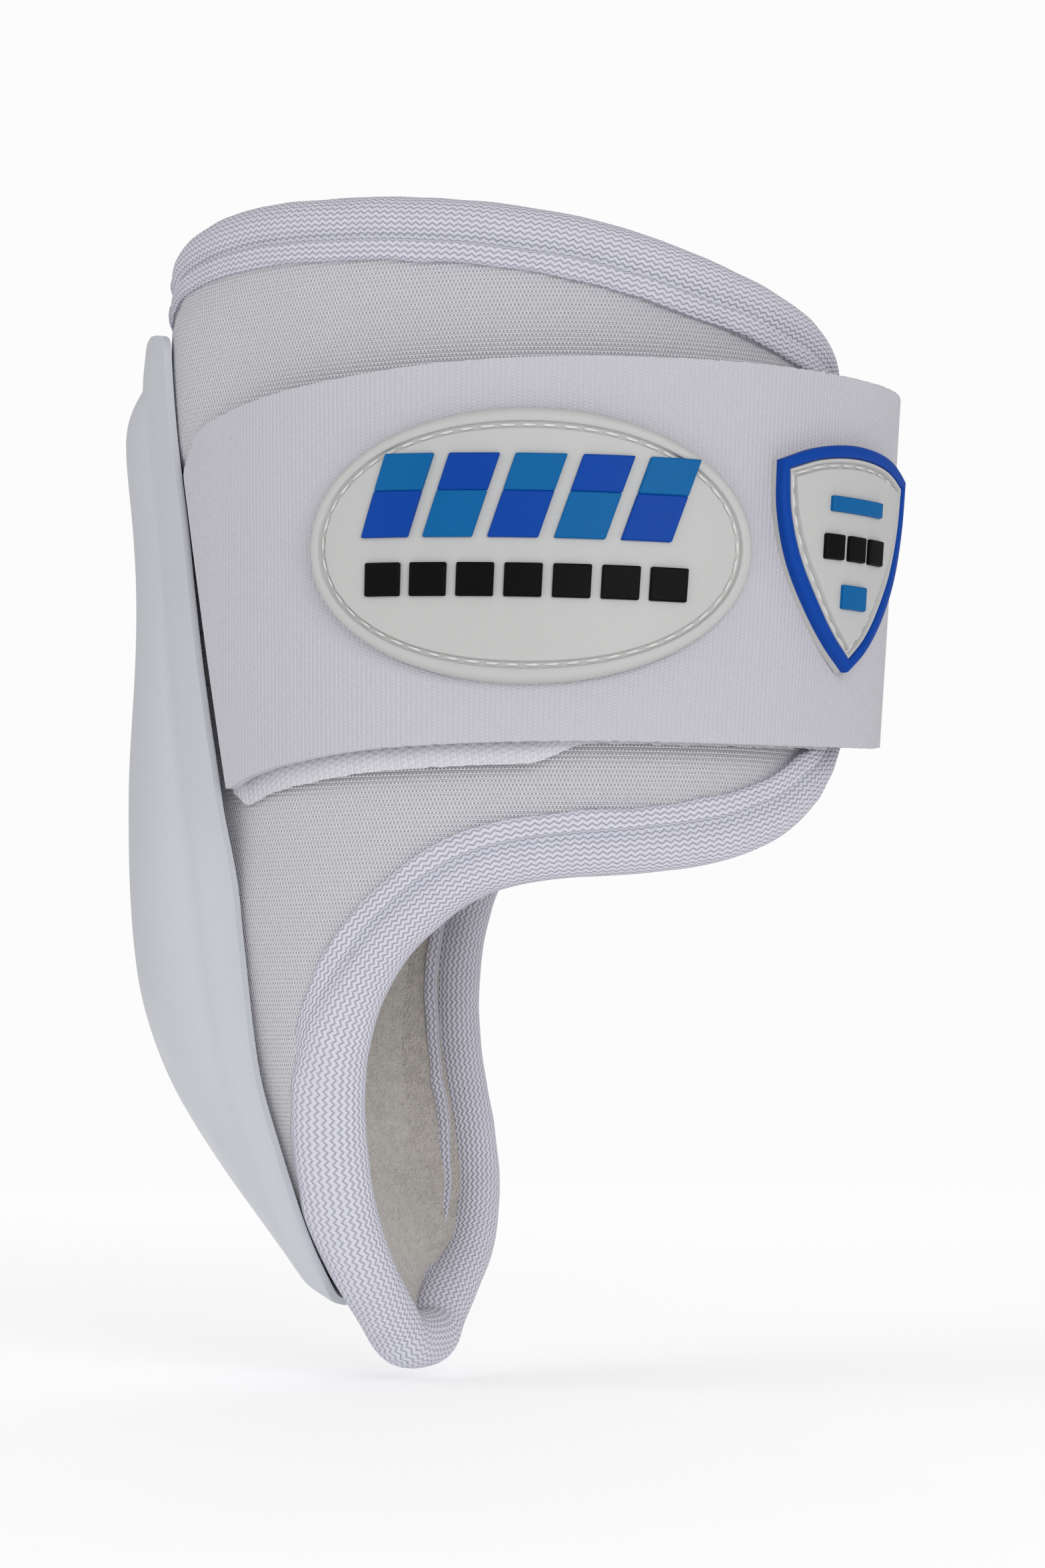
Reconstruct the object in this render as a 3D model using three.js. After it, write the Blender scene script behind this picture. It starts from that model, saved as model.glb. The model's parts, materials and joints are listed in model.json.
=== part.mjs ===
// A protective boot for the back of a horse's fetlock joint, closed on its leg by one wide strap.
// Millimetres. +Z runs up the leg's axis, z = 0 is the lowest point of the boot, the moulded
// strike shell is at the back (-X), the closing side is -Y and the tongue wraps round the front (+X).
import * as THREE from "three";

// ---- driving dimensions -------------------------------------------------------------------

// Outer face of the padded liner, as half-ellipses whose sizes change with the height: [z, size].
const BACK_X = [[3, -15.5], [6, -18.5], [9, -21.4], [12, -24.3], [19, -29.6], [32, -39], [46, -46.7],
  [62, -51], [85, -52], [118, -51.3], [140, -52.3], [168, -52.3]];
const MIDDLE_X = [[3, -14], [40, -12.5], [62, -5], [85, 0], [168, 0]];
const HALF_WIDTH = [[3, 7], [9, 15.5], [19, 23.5], [32, 28.5], [46, 32.5], [62, 36], [85, 39.5],
  [110, 41], [168, 41]];
const FRONT_X = 50.5;

// The liner is a sandwich. Each layer is [inner face, outer face], measured out from the outer face.
const COVER = [-1.2, 0];
const CORE = [-4.7, -1.5];
const LINING = [-6.3, -5];
const BACK_PAD = [-9, -6.9];
const WALL_MIDDLE = -3.1;

// Edges of the sandwich, in degrees round the leg from the back: near side positive.
const RIM = [[-75, 153], [-66, 156.5], [-50, 159.3], [0, 158.2], [20, 159.6], [50, 162.8],
  [76, 162.3], [106, 159], [138, 152], [160, 148.3], [180, 145], [195, 139], [206, 129.5]];
const ARCH = [[83.5, 62], [90, 68.5], [97, 73.5], [104, 76.2], [112, 77.4], [132, 79.1],
  [150, 81.8], [163, 86], [176, 92], [190, 98.5], [206, 110]];
const NEAR_EDGE = [[10, 50], [15, 57], [20, 65], [32, 75.8], [46, 79], [54, 81], [62, 82.6]];
const FAR_EDGE = [[10, 50], [15, 57], [20, 65], [27, 70], [35, 69.5], [43, 65.5], [54, 61.5], [62, 60.6],
  [71, 61], [80, 63.5], [90, 66.5], [100, 68], [160, 68]];
const LINER_BOTTOM = 9.8;
const TONGUE_END = 205;
const FOLD_BOTTOM = { angle: 83.5, z: 62 };
const FOLD_TOP = { angle: 50, z: 163 };
const FOLD_GAP_ANGLE = 0.9;

// Rolled binding round the sandwich's edges.
const ROLL_RADIUS = 3.6;
const ROLL_SIDES = 8;
const BOOT_ROLL_STEPS = 70;
const FLAP_ROLL_STEPS = 64;

// Moulded shell: a flat flange round a raised dome, with a foam pad inside the dome.
const SHELL_BOTTOM = 10.5;
const SHELL_TOP = 157;
const SHELL_HALF_ANGLE = [[10.5, 20], [11.5, 44], [13.5, 56], [17, 62], [24, 66.5], [33, 68], [45, 66.5],
  [60, 63], [75, 60], [85, 57.5], [102, 52.5], [118, 46], [134.5, 38], [144.5, 31.5], [150, 27],
  [154, 20], [157, 12]];
const SHELL_CLEARANCE = 0.5;
const FLANGE_WIDTH = 8.5;
const FLANGE_EDGE = 2.2;
const FLANGE_FACE = 3.8;
const DOME_FACE = 7;
const DOME_HOLLOW = 3.9;
const DOME_RUN = 14;
const DOME_FADE = [20, 60];
const MM_PER_DEGREE = 0.84;
const PAD_INSET = 8;
const PAD_BOTTOM = 50;
const PAD_TOP = 139;
const PAD_BACK = 0.8;
const PAD_FILL = 0.5;

// Strap, as half-ellipses through its outer face; it leans in towards its lower edge at the front.
const STRAP_BACK_X = 57;
const STRAP_FRONT_X = 60.7;
const STRAP_HALF_WIDTH = 46.2;
const STRAP_FULL_HEIGHT = 130;
const STRAP_FRONT_LEAN = 0.0012;
const STRAP_SIDE_LEAN = 0.0004;
const STRAP_TOP = [[36, 131], [50, 135], [70, 139.5], [90, 142.2], [110, 143.5], [200, 143.5],
  [296, 141]];
const STRAP_BOTTOM = [[36, 84], [62, 84.6], [70, 87.1], [78, 88.4], [90, 89.4], [110, 89.8],
  [200, 90.4], [225, 94], [250, 96], [296, 97]];
const STRAP_WEB = [-1.2, 0];
const STRAP_BACKING = [-2.4, -1.5];
const HOOK_TAPE = [-3.3, -2.6];
const LOOP_PANEL = [0.4, 1.1];
const STRAP_TIP_TOP_ANGLE = 50.5;
const STRAP_TIP_BOTTOM_ANGLE = 62.5;
const PEEL_ANGLE = 201.5;
const ANCHOR_ANGLE = 296;
const JOINT_GAP_ANGLE = 0.4;

// Rubber patches on the strap: centre [angle, z], sizes and heights above the strap's face.
const PATCH_LIFT = 0.5;
const PATCH_SEGMENTS = 32;
const OVAL = { angle: 111.5, z: 116.7, halfLength: 32.5, halfHeight: 19.2, tilt: -0.03 };
const SHIELD = { angle: 160, z: 117.5, tilt: 0 };
const SHIELD_OUTLINE = [[0, 11.2], [30, 13], [52, 16.9], [62, 15.6], [90, 14.6], [118, 15.6],
  [128, 16.9], [150, 13], [180, 11.2], [215, 10.6], [245, 13.2], [270, 17], [295, 13.2],
  [325, 10.6], [360, 11.2]];
const PATCH_TOP = 2.1;
const INLAY = [2.4, 3];
const GROOVE_FLOOR = 1.4;
const THREAD_RADIUS = 0.25;

// ---- surfaces -----------------------------------------------------------------------------

const radians = THREE.MathUtils.degToRad;
const mix = THREE.MathUtils.lerp;
const ramp = THREE.MathUtils.smoothstep;

// A smooth curve through [at, value] pairs, level beyond its ends.
function through(pairs) {
  const last = pairs.length - 1;
  const slope = (i) => {
    const before = pairs[Math.max(i - 1, 0)];
    const after = pairs[Math.min(i + 1, last)];
    return (after[1] - before[1]) / (after[0] - before[0]);
  };
  return (at) => {
    if (at <= pairs[0][0]) return pairs[0][1];
    if (at >= pairs[last][0]) return pairs[last][1];
    const i = pairs.findIndex((pair, n) => n < last && at <= pairs[n + 1][0]);
    const width = pairs[i + 1][0] - pairs[i][0];
    const t = (at - pairs[i][0]) / width;
    const rise = t * t * (3 - 2 * t);
    const leaving = t * (1 - t) * (1 - t) * width * slope(i);
    const arriving = t * t * (t - 1) * width * slope(i + 1);
    return mix(pairs[i][1], pairs[i + 1][1], rise) + leaving + arriving;
  };
}

const backX = through(BACK_X);
const middleX = through(MIDDLE_X);
const halfWidth = through(HALF_WIDTH);
const rim = through(RIM);
const arch = through(ARCH);
const nearEdge = through(NEAR_EDGE);
const farEdge = through(FAR_EDGE);
const shellHalfAngle = through(SHELL_HALF_ANGLE);
const strapTop = through(STRAP_TOP);
const strapBottom = through(STRAP_BOTTOM);

function skinPoint(angle, z) {
  const turn = radians(angle);
  const middle = middleX(z);
  const reach = Math.cos(turn) > 0 ? middle - backX(z) : FRONT_X - middle;
  return new THREE.Vector3(middle - reach * Math.cos(turn), -halfWidth(z) * Math.sin(turn), z);
}

// A point `out` mm outside the liner's outer face, square to it.
function onLiner(angle, z, out) {
  const step = 0.5;
  const round = skinPoint(angle + step, z).sub(skinPoint(angle - step, z));
  const up = skinPoint(angle, z + step).sub(skinPoint(angle, z - step));
  return skinPoint(angle, z).addScaledVector(round.cross(up).normalize(), out);
}

function strapReach(angle, z) {
  const lean = (z - STRAP_FULL_HEIGHT) * STRAP_FRONT_LEAN;
  return Math.cos(radians(angle)) > 0 ? STRAP_BACK_X : STRAP_FRONT_X * (1 + lean);
}

// A point `out` mm outside the strap's outer face.
function onStrap(angle, z, out) {
  const turn = radians(angle);
  const side = STRAP_HALF_WIDTH * (1 + (z - STRAP_FULL_HEIGHT) * STRAP_SIDE_LEAN);
  const x = -(strapReach(angle, z) + out) * Math.cos(turn);
  return new THREE.Vector3(x, -(side + out) * Math.sin(turn), z);
}

// The strap angle that lies `distance` mm further round from `angle`.
function alongStrap(angle, distance) {
  const steps = 12;
  let at = angle;
  for (let i = 0; i < steps; i += 1) {
    const turn = radians(at);
    const reach = strapReach(at, STRAP_FULL_HEIGHT);
    const pace = Math.hypot(reach * Math.sin(turn), STRAP_HALF_WIDTH * Math.cos(turn));
    at += THREE.MathUtils.radToDeg(distance / steps / pace);
  }
  return at;
}

// A place on the strap's face, `across` and `up` mm from a patch's centre.
function onPatch(patch, across, up, out) {
  const right = across * Math.cos(patch.tilt) - up * Math.sin(patch.tilt);
  const rise = across * Math.sin(patch.tilt) + up * Math.cos(patch.tilt);
  return onStrap(alongStrap(patch.angle, right), patch.z + rise, out);
}

// ---- solids -------------------------------------------------------------------------------

const even = (count) => Array.from({ length: count + 1 }, (unused, i) => i / count);

// The box's back face is cut along its quads' other diagonals, so that neighbouring layers match.
function matchDiagonals(solid) {
  const index = solid.getIndex();
  const { start, count } = solid.groups[5];
  for (let i = start; i < start + count; i += 6) {
    const first = index.getX(i);
    const opposite = index.getX(i + 4);
    const last = index.getX(i + 5);
    [opposite, first, opposite, last].forEach((corner, n) => index.setX(i + 2 + n, corner));
  }
}

// A block whose columns, rows and two faces are laid on a surface by place(u, v, face).
function sheet(columns, rows, place) {
  const solid = new THREE.BoxGeometry(1, 1, 1, columns.length - 1, rows.length - 1, 1);
  const position = solid.getAttribute("position");
  for (let i = 0; i < position.count; i += 1) {
    const u = columns[Math.round((position.getX(i) + 0.5) * (columns.length - 1))];
    const v = rows[Math.round((position.getY(i) + 0.5) * (rows.length - 1))];
    const point = place(u, v, position.getZ(i) > 0 ? 1 : 0);
    position.setXYZ(i, point.x, point.y, point.z);
  }
  matchDiagonals(solid);
  return solid;
}

// A turned profile of [share of the outline, inset, height] laid inside an outline on a patch.
function dish(profile, outline, place) {
  const points = profile.map(([share, inset, height]) => new THREE.Vector2(share, height));
  const solid = new THREE.LatheGeometry(points, PATCH_SEGMENTS);
  const position = solid.getAttribute("position");
  const uv = solid.getAttribute("uv");
  for (let i = 0; i < position.count; i += 1) {
    const [share, inset, height] = profile[Math.round(uv.getY(i) * (profile.length - 1))];
    const turn = uv.getX(i) * 2 * Math.PI;
    const radius = outline(turn) * share - inset;
    const point = place(radius * Math.cos(turn), radius * Math.sin(turn), height);
    position.setXYZ(i, point.x, point.y, point.z);
  }
  return solid;
}

function roll(path, steps) {
  const section = new THREE.Shape();
  for (let i = 0; i < ROLL_SIDES; i += 1) {
    const turn = (i / ROLL_SIDES) * 2 * Math.PI;
    section[i ? "lineTo" : "moveTo"](ROLL_RADIUS * Math.cos(turn), ROLL_RADIUS * Math.sin(turn));
  }
  section.closePath();
  return new THREE.ExtrudeGeometry(section, { extrudePath: path, steps });
}

const boot = new THREE.Group();

function add(name, geometry, color, roughness) {
  const material = new THREE.MeshStandardMaterial({ color, roughness, metalness: 0 });
  const mesh = new THREE.Mesh(geometry, material);
  mesh.name = name;
  boot.add(mesh);
}

const KNIT = "#cfcdd3";
const NEOPRENE = "#3a3a3e";
const FLEECE = "#c9c0b6";
const BINDING = "#d0d2dd";
const WEBBING = "#d9d7e0";
const SHELL = "#c3c9cf";
const FOAM = "#e4e0d6";
const PATCH_WHITE = "#ecedea";
const ROYAL_BLUE = "#0b4fc4";
const SKY_BLUE = "#0a79be";
const BLACK = "#151516";
const TAPE = "#c6c4cc";
const THREAD = "#dcdcdc";

// ---- back of the boot: cup, back pad, shell -----------------------------------------------

function foldAngle(z) {
  const share = (z - FOLD_BOTTOM.z) / (FOLD_TOP.z - FOLD_BOTTOM.z);
  return mix(FOLD_BOTTOM.angle, FOLD_TOP.angle, THREE.MathUtils.clamp(share, 0, 1));
}

function cupLayer([inner, outer]) {
  const rows = [0, 0.035, 0.08, 0.14, 0.21, 0.29, 0.35, 0.45, 0.57, 0.7, 0.85, 1];
  return sheet(even(14), rows, (u, v, face) => {
    const level = mix(LINER_BOTTOM, FOLD_TOP.z, v);
    const near = level < FOLD_BOTTOM.z ? nearEdge(level) : foldAngle(level) - FOLD_GAP_ANGLE;
    const angle = mix(-farEdge(level), near, u);
    return onLiner(angle, mix(LINER_BOTTOM, rim(angle), v), face ? outer : inner);
  });
}

function backPad() {
  const halfAngle = 56;
  return sheet(even(10), even(13), (u, v, face) => {
    const angle = mix(-halfAngle, halfAngle, u);
    return onLiner(angle, mix(32, 150, v), BACK_PAD[face]);
  });
}

// The shell's columns: those beyond the crease cross the flange, the others cross the dome.
const CREASE = 0.8;
const shellColumns = [-1, -0.9, -CREASE, -0.6, -0.35, -0.15, 0, 0.15, 0.35, 0.6, CREASE, 0.9, 1];
const shellRows = [0, 0.01, 0.03, 0.06, 0.1, 0.15, 0.22, 0.3, 0.4, 0.5, 0.6, 0.7, 0.8, 0.88, 0.942,
  0.97, 0.985, 1];

function shellAngle(column, z) {
  const half = shellHalfAngle(z);
  const flange = Math.min(0.6, FLANGE_WIDTH / (half * MM_PER_DEGREE));
  const out = Math.abs(column);
  const share = out > CREASE ? 1 - (flange * (1 - out)) / (1 - CREASE) : ((1 - flange) * out) / CREASE;
  return Math.sign(column) * share * half;
}

// How far the dome has risen, from 0 on the flange to 1 on its back.
function domeAt(angle, z) {
  const fromSide = (shellHalfAngle(z) - Math.abs(angle)) * MM_PER_DEGREE;
  const inside = Math.min(fromSide, SHELL_TOP - z, z - SHELL_BOTTOM) - FLANGE_WIDTH;
  const left = 1 - THREE.MathUtils.clamp(inside / DOME_RUN, 0, 1);
  return (1 - left * left) * ramp(z, ...DOME_FADE);
}

const domeHollow = (angle, z) => mix(SHELL_CLEARANCE, DOME_HOLLOW, domeAt(angle, z));

function strikeShell() {
  return sheet(shellColumns, shellRows, (column, v, face) => {
    const z = mix(SHELL_BOTTOM, SHELL_TOP, v);
    const angle = shellAngle(column, z);
    const flange = mix(FLANGE_FACE, FLANGE_EDGE, ramp(Math.abs(column), CREASE, 1));
    const outer = mix(flange, DOME_FACE, domeAt(angle, z));
    return onLiner(angle, z, face ? outer : domeHollow(angle, z));
  });
}

function impactPad() {
  const columns = [-1, -0.7, -0.35, 0, 0.35, 0.7, 1];
  return sheet(columns, even(9), (share, v, face) => {
    const z = mix(PAD_BOTTOM, PAD_TOP, v);
    const half = shellHalfAngle(z) - (FLANGE_WIDTH + PAD_INSET) / MM_PER_DEGREE;
    return onLiner(share * half, z, mix(PAD_BACK, domeHollow(share * half, z), face * PAD_FILL));
  });
}

function bootBinding() {
  const near = [[87.6, 56], [86.8, 47], [86.8, 36], [86.5, 24], [85, 14]];
  const far = [[-87, 14], [-85.5, 24], [-80.5, 34], [-75, 43.5], [-69.8, 54], [-68, 62], [-68.2, 71],
    [-71, 80], [-74, 90], [-75, 102], [-75, 125], [-75, 150], [-70, 160], [-60, 163], [-40, 163.6], [-20, 162.8], [0, 162.2],
    [18, 163.4], [34, 165.4], [48.6, 166.7]];
  const tip = [new THREE.Vector3(-14.5, -7.5, 5.2), new THREE.Vector3(-14.5, 0, 3.7),
    new THREE.Vector3(-14.5, 7.5, 5.2)];
  const lay = ([angle, z]) => onLiner(angle, z, WALL_MIDDLE);
  const path = new THREE.CatmullRomCurve3([...near.map(lay), ...tip, ...far.map(lay)]);
  return roll(path, BOOT_ROLL_STEPS);
}

function strapAnchor() {
  return sheet(even(3), even(2), (u, v, face) => {
    const angle = mix(-63, -57, u);
    return onLiner(angle, mix(98, 139, v), mix(0.4, 2.2, face));
  });
}

add("liner_cover", cupLayer(COVER), KNIT, 0.9);
add("liner_core", cupLayer(CORE), NEOPRENE, 0.8);
add("liner_lining", cupLayer(LINING), FLEECE, 1);
add("back_pad", backPad(), FLEECE, 1);
add("boot_binding", bootBinding(), BINDING, 0.85);
add("strike_shell", strikeShell(), SHELL, 0.4);
add("impact_pad", impactPad(), FOAM, 0.9);
add("strap_anchor", strapAnchor(), WEBBING, 0.85);

// ---- flap: near side and tongue, with the loop panel that the strap closes on ---------------

function flapLayer([inner, outer]) {
  return sheet(even(18), even(5), (u, v, face) => {
    const start = mix(FOLD_BOTTOM.angle, FOLD_TOP.angle, v);
    const angle = mix(start, TONGUE_END, u);
    const z = mix(angle < FOLD_BOTTOM.angle ? FOLD_BOTTOM.z : arch(angle), rim(angle), v);
    return onLiner(angle, z, face ? outer : inner);
  });
}

function flapBinding() {
  const points = [[52, 167.1], [64, 167.1], [76, 166.4], [91, 165.2], [106, 163.2], [124, 160.2],
    [140, 156.5], [160, 152.7], [180, 149.3], [195, 145], [205, 139], [211, 129], [212.5, 118],
    [210, 107], [203, 99.5], [192, 93.5], [180, 88], [166, 82], [150, 77.5], [132, 75.2],
    [120, 74.4], [110, 73.3], [102, 70.9], [95.5, 66.5], [90.6, 60.6]];
  const path = new THREE.CatmullRomCurve3(points.map(([a, z]) => onLiner(a, z, WALL_MIDDLE)));
  return roll(path, FLAP_ROLL_STEPS);
}

function loopPanel() {
  return sheet(even(12), even(2), (u, v, face) => {
    const top = 139;
    const bottom = 84.5;
    const start = foldAngle(mix(bottom, top, v)) + 2;
    const angle = mix(start, 172, u);
    return onLiner(angle, mix(mix(bottom, 90, ramp(angle, 100, 172)), top, v), LOOP_PANEL[face]);
  });
}

add("flap_cover", flapLayer(COVER), KNIT, 0.9);
add("flap_core", flapLayer(CORE), NEOPRENE, 0.8);
add("flap_lining", flapLayer(LINING), FLEECE, 1);
add("flap_binding", flapBinding(), BINDING, 0.85);
add("loop_panel", loopPanel(), TAPE, 0.95);

// ---- strap --------------------------------------------------------------------------------

function strapLayer(startTop, startBottom, end, [inner, outer], margin) {
  return sheet(even(20), even(3), (u, v, face) => {
    const angle = mix(mix(startBottom, startTop, v), end, u);
    const z = mix(strapBottom(angle) + margin, strapTop(angle) - margin, v);
    return onStrap(angle, z, face ? outer : inner);
  });
}

const frontStart = PEEL_ANGLE + JOINT_GAP_ANGLE;
const frontEnd = ANCHOR_ANGLE - JOINT_GAP_ANGLE;
const tapeEnd = 108;

add("strap_front_web", strapLayer(frontStart, frontStart, frontEnd, STRAP_WEB, 0), WEBBING, 0.85);
add("strap_front_backing", strapLayer(frontStart, frontStart, frontEnd, STRAP_BACKING, 1.5), TAPE, 0.9);

const tip = [STRAP_TIP_TOP_ANGLE, STRAP_TIP_BOTTOM_ANGLE];
add("strap_end_web", strapLayer(...tip, PEEL_ANGLE, STRAP_WEB, 0), WEBBING, 0.85);
const backingTip = tip.map((angle) => angle + 2);
add("strap_end_backing", strapLayer(...backingTip, PEEL_ANGLE, STRAP_BACKING, 1.5), TAPE, 0.9);
const tapeTip = tip.map((angle) => angle + 6);
add("hook_tape", strapLayer(...tapeTip, tapeEnd, HOOK_TAPE, 4), BLACK, 0.9);

// ---- patches on the strap -------------------------------------------------------------------

const ovalRadius = (turn) => 1 / Math.hypot(Math.cos(turn) / OVAL.halfLength, Math.sin(turn) / OVAL.halfHeight);
const shieldCurve = through(SHIELD_OUTLINE);
const shieldRadius = (turn) => shieldCurve((THREE.MathUtils.radToDeg(turn) + 720) % 360);

const stitchLine = (inset, height) =>
  even(6).map((share) => {
    const turn = -share * 2 * Math.PI;
    return [1, inset + THREAD_RADIUS * Math.cos(turn), height + THREAD_RADIUS * Math.sin(turn)];
  });

const onOval = (across, up, out) => onPatch(OVAL, across, up, out + PATCH_LIFT);
const onShield = (across, up, out) => onPatch(SHIELD, across, up, out + PATCH_LIFT);

const ovalProfile = [[0, 0, 0], [0.2, 0, 0], [0.4, 0, 0], [0.6, 0, 0], [0.8, 0, 0], [1, 0, 0],
  [1, 0, 1.3], [1, 0.7, 2.2], [1, 1.9, 2.2], [1, 2, GROOVE_FLOOR], [1, 3, GROOVE_FLOOR],
  [1, 3.1, PATCH_TOP], [0.65, 0, PATCH_TOP], [0.45, 0, PATCH_TOP], [0.2, 0, PATCH_TOP],
  [0, 0, PATCH_TOP]];
add("oval_patch", dish(ovalProfile, ovalRadius, onOval), PATCH_WHITE, 0.5);
add("oval_stitching", dish(stitchLine(2.5, GROOVE_FLOOR + 0.55), ovalRadius, onOval), THREAD, 0.8);

// A raised block on a patch: its lower edge is centred on `across`, its upper edge `slant` further.
function block(place, across, up, width, height, slant) {
  return sheet(even(3), even(1), (u, v, face) =>
    place(across + (u - 0.5) * width + v * slant, up + v * height, INLAY[face]));
}

const bars = 5;
const barPitch = 9;
for (let i = 0; i < bars; i += 1) {
  const across = (i - (bars - 1) / 2) * barPitch - 1.5;
  const color = i % 2 ? SKY_BLUE : ROYAL_BLUE;
  add(`oval_bar_${i + 1}`, block(onOval, across, 0.8, 6.6, 11.5, 3.2), color, 0.45);
}
const wordBlocks = 7;
const wordPitch = 6.6;
for (let i = 0; i < wordBlocks; i += 1) {
  const across = (i - (wordBlocks - 1) / 2) * wordPitch;
  add(`oval_block_${i + 1}`, block(onOval, across, -7.4, 5, 4.6, 0), BLACK, 0.45);
}

const shieldProfile = [[0, 0, 0], [0.35, 0, 0], [0.7, 0, 0], [1, 0, 0], [1, 0, 1.1], [1, 1.9, 1.1],
  [1, 2, PATCH_TOP], [1, 2.5, PATCH_TOP], [1, 2.6, GROOVE_FLOOR], [1, 3.5, GROOVE_FLOOR],
  [1, 3.6, PATCH_TOP], [0.4, 0, PATCH_TOP], [0, 0, PATCH_TOP]];
const rimProfile = [[1, 0, 1.4], [1, 0, 2.2], [1, 0.3, 2.4], [1, 1.5, 2.4], [1, 1.6, 1.4], [1, 0, 1.4]];
add("shield_patch", dish(shieldProfile, shieldRadius, onShield), PATCH_WHITE, 0.5);
add("shield_rim", dish(rimProfile, shieldRadius, onShield), ROYAL_BLUE, 0.45);
add("shield_stitching", dish(stitchLine(3.05, GROOVE_FLOOR + 0.55), shieldRadius, onShield), THREAD, 0.8);
add("shield_bar_upper", block(onShield, 0, 6.2, 11, 2.2, 0), SKY_BLUE, 0.45);
add("shield_bar_lower", block(onShield, 0, -7.4, 5, 3.4, 0), SKY_BLUE, 0.45);
for (let i = 0; i < 3; i += 1) {
  add(`shield_block_${i + 1}`, block(onShield, (i - 1) * 4.6, -0.6, 3.6, 3.6, 0), BLACK, 0.45);
}

export default boot;
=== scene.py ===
"""A horse's fetlock boot: padded knit liner, moulded shell, rolled binding and one wide strap."""

import json
import math

import bmesh
import bpy
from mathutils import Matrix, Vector, kdtree, noise


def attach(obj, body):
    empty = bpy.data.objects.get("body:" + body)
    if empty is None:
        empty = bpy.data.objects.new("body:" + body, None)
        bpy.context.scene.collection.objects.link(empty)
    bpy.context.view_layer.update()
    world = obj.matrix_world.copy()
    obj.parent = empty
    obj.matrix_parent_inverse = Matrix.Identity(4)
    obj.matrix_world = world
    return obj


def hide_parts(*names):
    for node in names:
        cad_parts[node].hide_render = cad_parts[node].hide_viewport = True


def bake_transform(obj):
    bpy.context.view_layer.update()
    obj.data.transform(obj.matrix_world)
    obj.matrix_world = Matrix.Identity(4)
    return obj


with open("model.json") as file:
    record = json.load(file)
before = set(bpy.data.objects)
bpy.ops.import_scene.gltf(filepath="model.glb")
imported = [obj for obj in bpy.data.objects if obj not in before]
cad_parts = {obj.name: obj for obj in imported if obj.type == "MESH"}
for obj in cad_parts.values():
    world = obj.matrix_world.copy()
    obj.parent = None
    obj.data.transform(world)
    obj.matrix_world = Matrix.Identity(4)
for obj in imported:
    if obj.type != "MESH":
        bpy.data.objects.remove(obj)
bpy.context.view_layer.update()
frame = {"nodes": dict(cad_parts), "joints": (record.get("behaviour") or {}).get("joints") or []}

bl_info = {
    "name": "Fetlock boot",
    "version": (1, 0, 0),
    "blender": (4, 5, 0),
    "location": "View3D > Sidebar > Fetlock boot",
    "description": "Makes the soft and moulded pieces of a fetlock boot round its frame",
    "category": "Add Mesh",
}

# ---- sizes, in millimetres unless a name says otherwise -------------------------------------

MM = 0.001

# Outer face of the liner: half-ellipses whose sizes change with the height, as (z, size).
BACK_X = [(3, -15.5), (6, -18.5), (9, -21.4), (12, -24.3), (19, -29.6), (32, -39), (46, -46.7),
          (62, -51), (85, -52), (118, -51.3), (140, -52.3), (168, -52.3)]
MIDDLE_X = [(3, -14), (40, -12.5), (62, -5), (85, 0), (168, 0)]
HALF_WIDTH = [(3, 7), (9, 15.5), (19, 23.5), (32, 28.5), (46, 32.5), (62, 36), (85, 39.5),
              (110, 41), (168, 41)]
FRONT_X = 50.5
WALL_MIDDLE = -3.1
GIRTH_RADIUS = 45.5
LINER_LAYERS = {"cover": (-1.2, 0.0), "core": (-4.7, -1.4), "lining": (-6.3, -4.9)}

# The binding's path, as (degrees round the leg from the back, z); near side positive.
TIP_PATH = [(-15, 8.4, 7.2), (-14.6, 5.4, 4.6), (-14.5, 0, 3.9), (-14.6, -5.4, 4.6),
            (-15, -8.4, 7.2)]
NEAR_PATH = [(84, 14), (86.5, 24), (86.8, 36), (86.8, 47), (87.6, 55), (90.6, 61.5), (95.5, 66.7),
             (102, 70.9), (110, 73.3), (120, 74.4), (132, 75.2), (150, 77.5), (166, 82), (180, 88),
             (192, 93.5), (203, 99.5), (210, 107), (212.5, 118), (211, 129), (205, 138.8),
             (195, 145), (180, 149.3), (160, 153), (140, 157), (124, 160.5), (106, 163.2),
             (91, 164.7), (76, 165.7), (64, 166.3), (50, 166.1), (34, 165), (18.4, 163.4)]
FAR_PATH = [(-87, 14), (-85.5, 24), (-80.5, 34), (-75, 43.5), (-69.8, 54), (-68, 62), (-68.2, 71),
            (-71, 80), (-74, 90), (-75, 102), (-75, 125), (-75, 148), (-70.5, 159), (-60, 162.8),
            (-40, 163.6), (-20, 162.8), (0, 162.2), (10, 162.7), (21.6, 163.6)]
PATTERN_SEAM = 20
PATTERN_BOTTOM = 5.0

# The back pad in the cup: half-width in degrees, ends, and faces from the liner's outer face.
PAD_HALF_ANGLE, PAD_LOW, PAD_HIGH = 57, 25, 151
PAD_EDGE, PAD_CROWN, PAD_BACK = -6.5, -8.8, -6.35

# The shell's half-width in degrees, as (z, angle), and its faces above the liner.
SHELL_BOTTOM, SHELL_TOP = 10.5, 152.8
SHELL_HALF_ANGLE = [(10.5, 20), (11.5, 44), (13.5, 56), (17, 61.5), (24, 65.7), (33, 67),
                    (45, 65.4), (60, 61.8), (70, 59.5), (80, 57.7), (88, 55.9), (96, 53.6),
                    (106, 50.6), (116, 47.8), (126, 45.5), (134, 43.5), (148, 40), (151, 39),
                    (152.1, 36), (152.8, 30)]
SHELL_RISE = [(60, 0), (85, 0), (107, -0.9), (125, -0.3), (140, 0.7), (152.8, 0.6)]
SHELL_BACK, DOME_FACE, DOME_HOLLOW, LIP_THICKNESS = 0.5, 7.0, 3.9, 1.2
LIP_LOW, LIP_HIGH, FLANGE_LOW, FLANGE_HIGH = 2.0, 3.9, 3.5, 4.2
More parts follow.
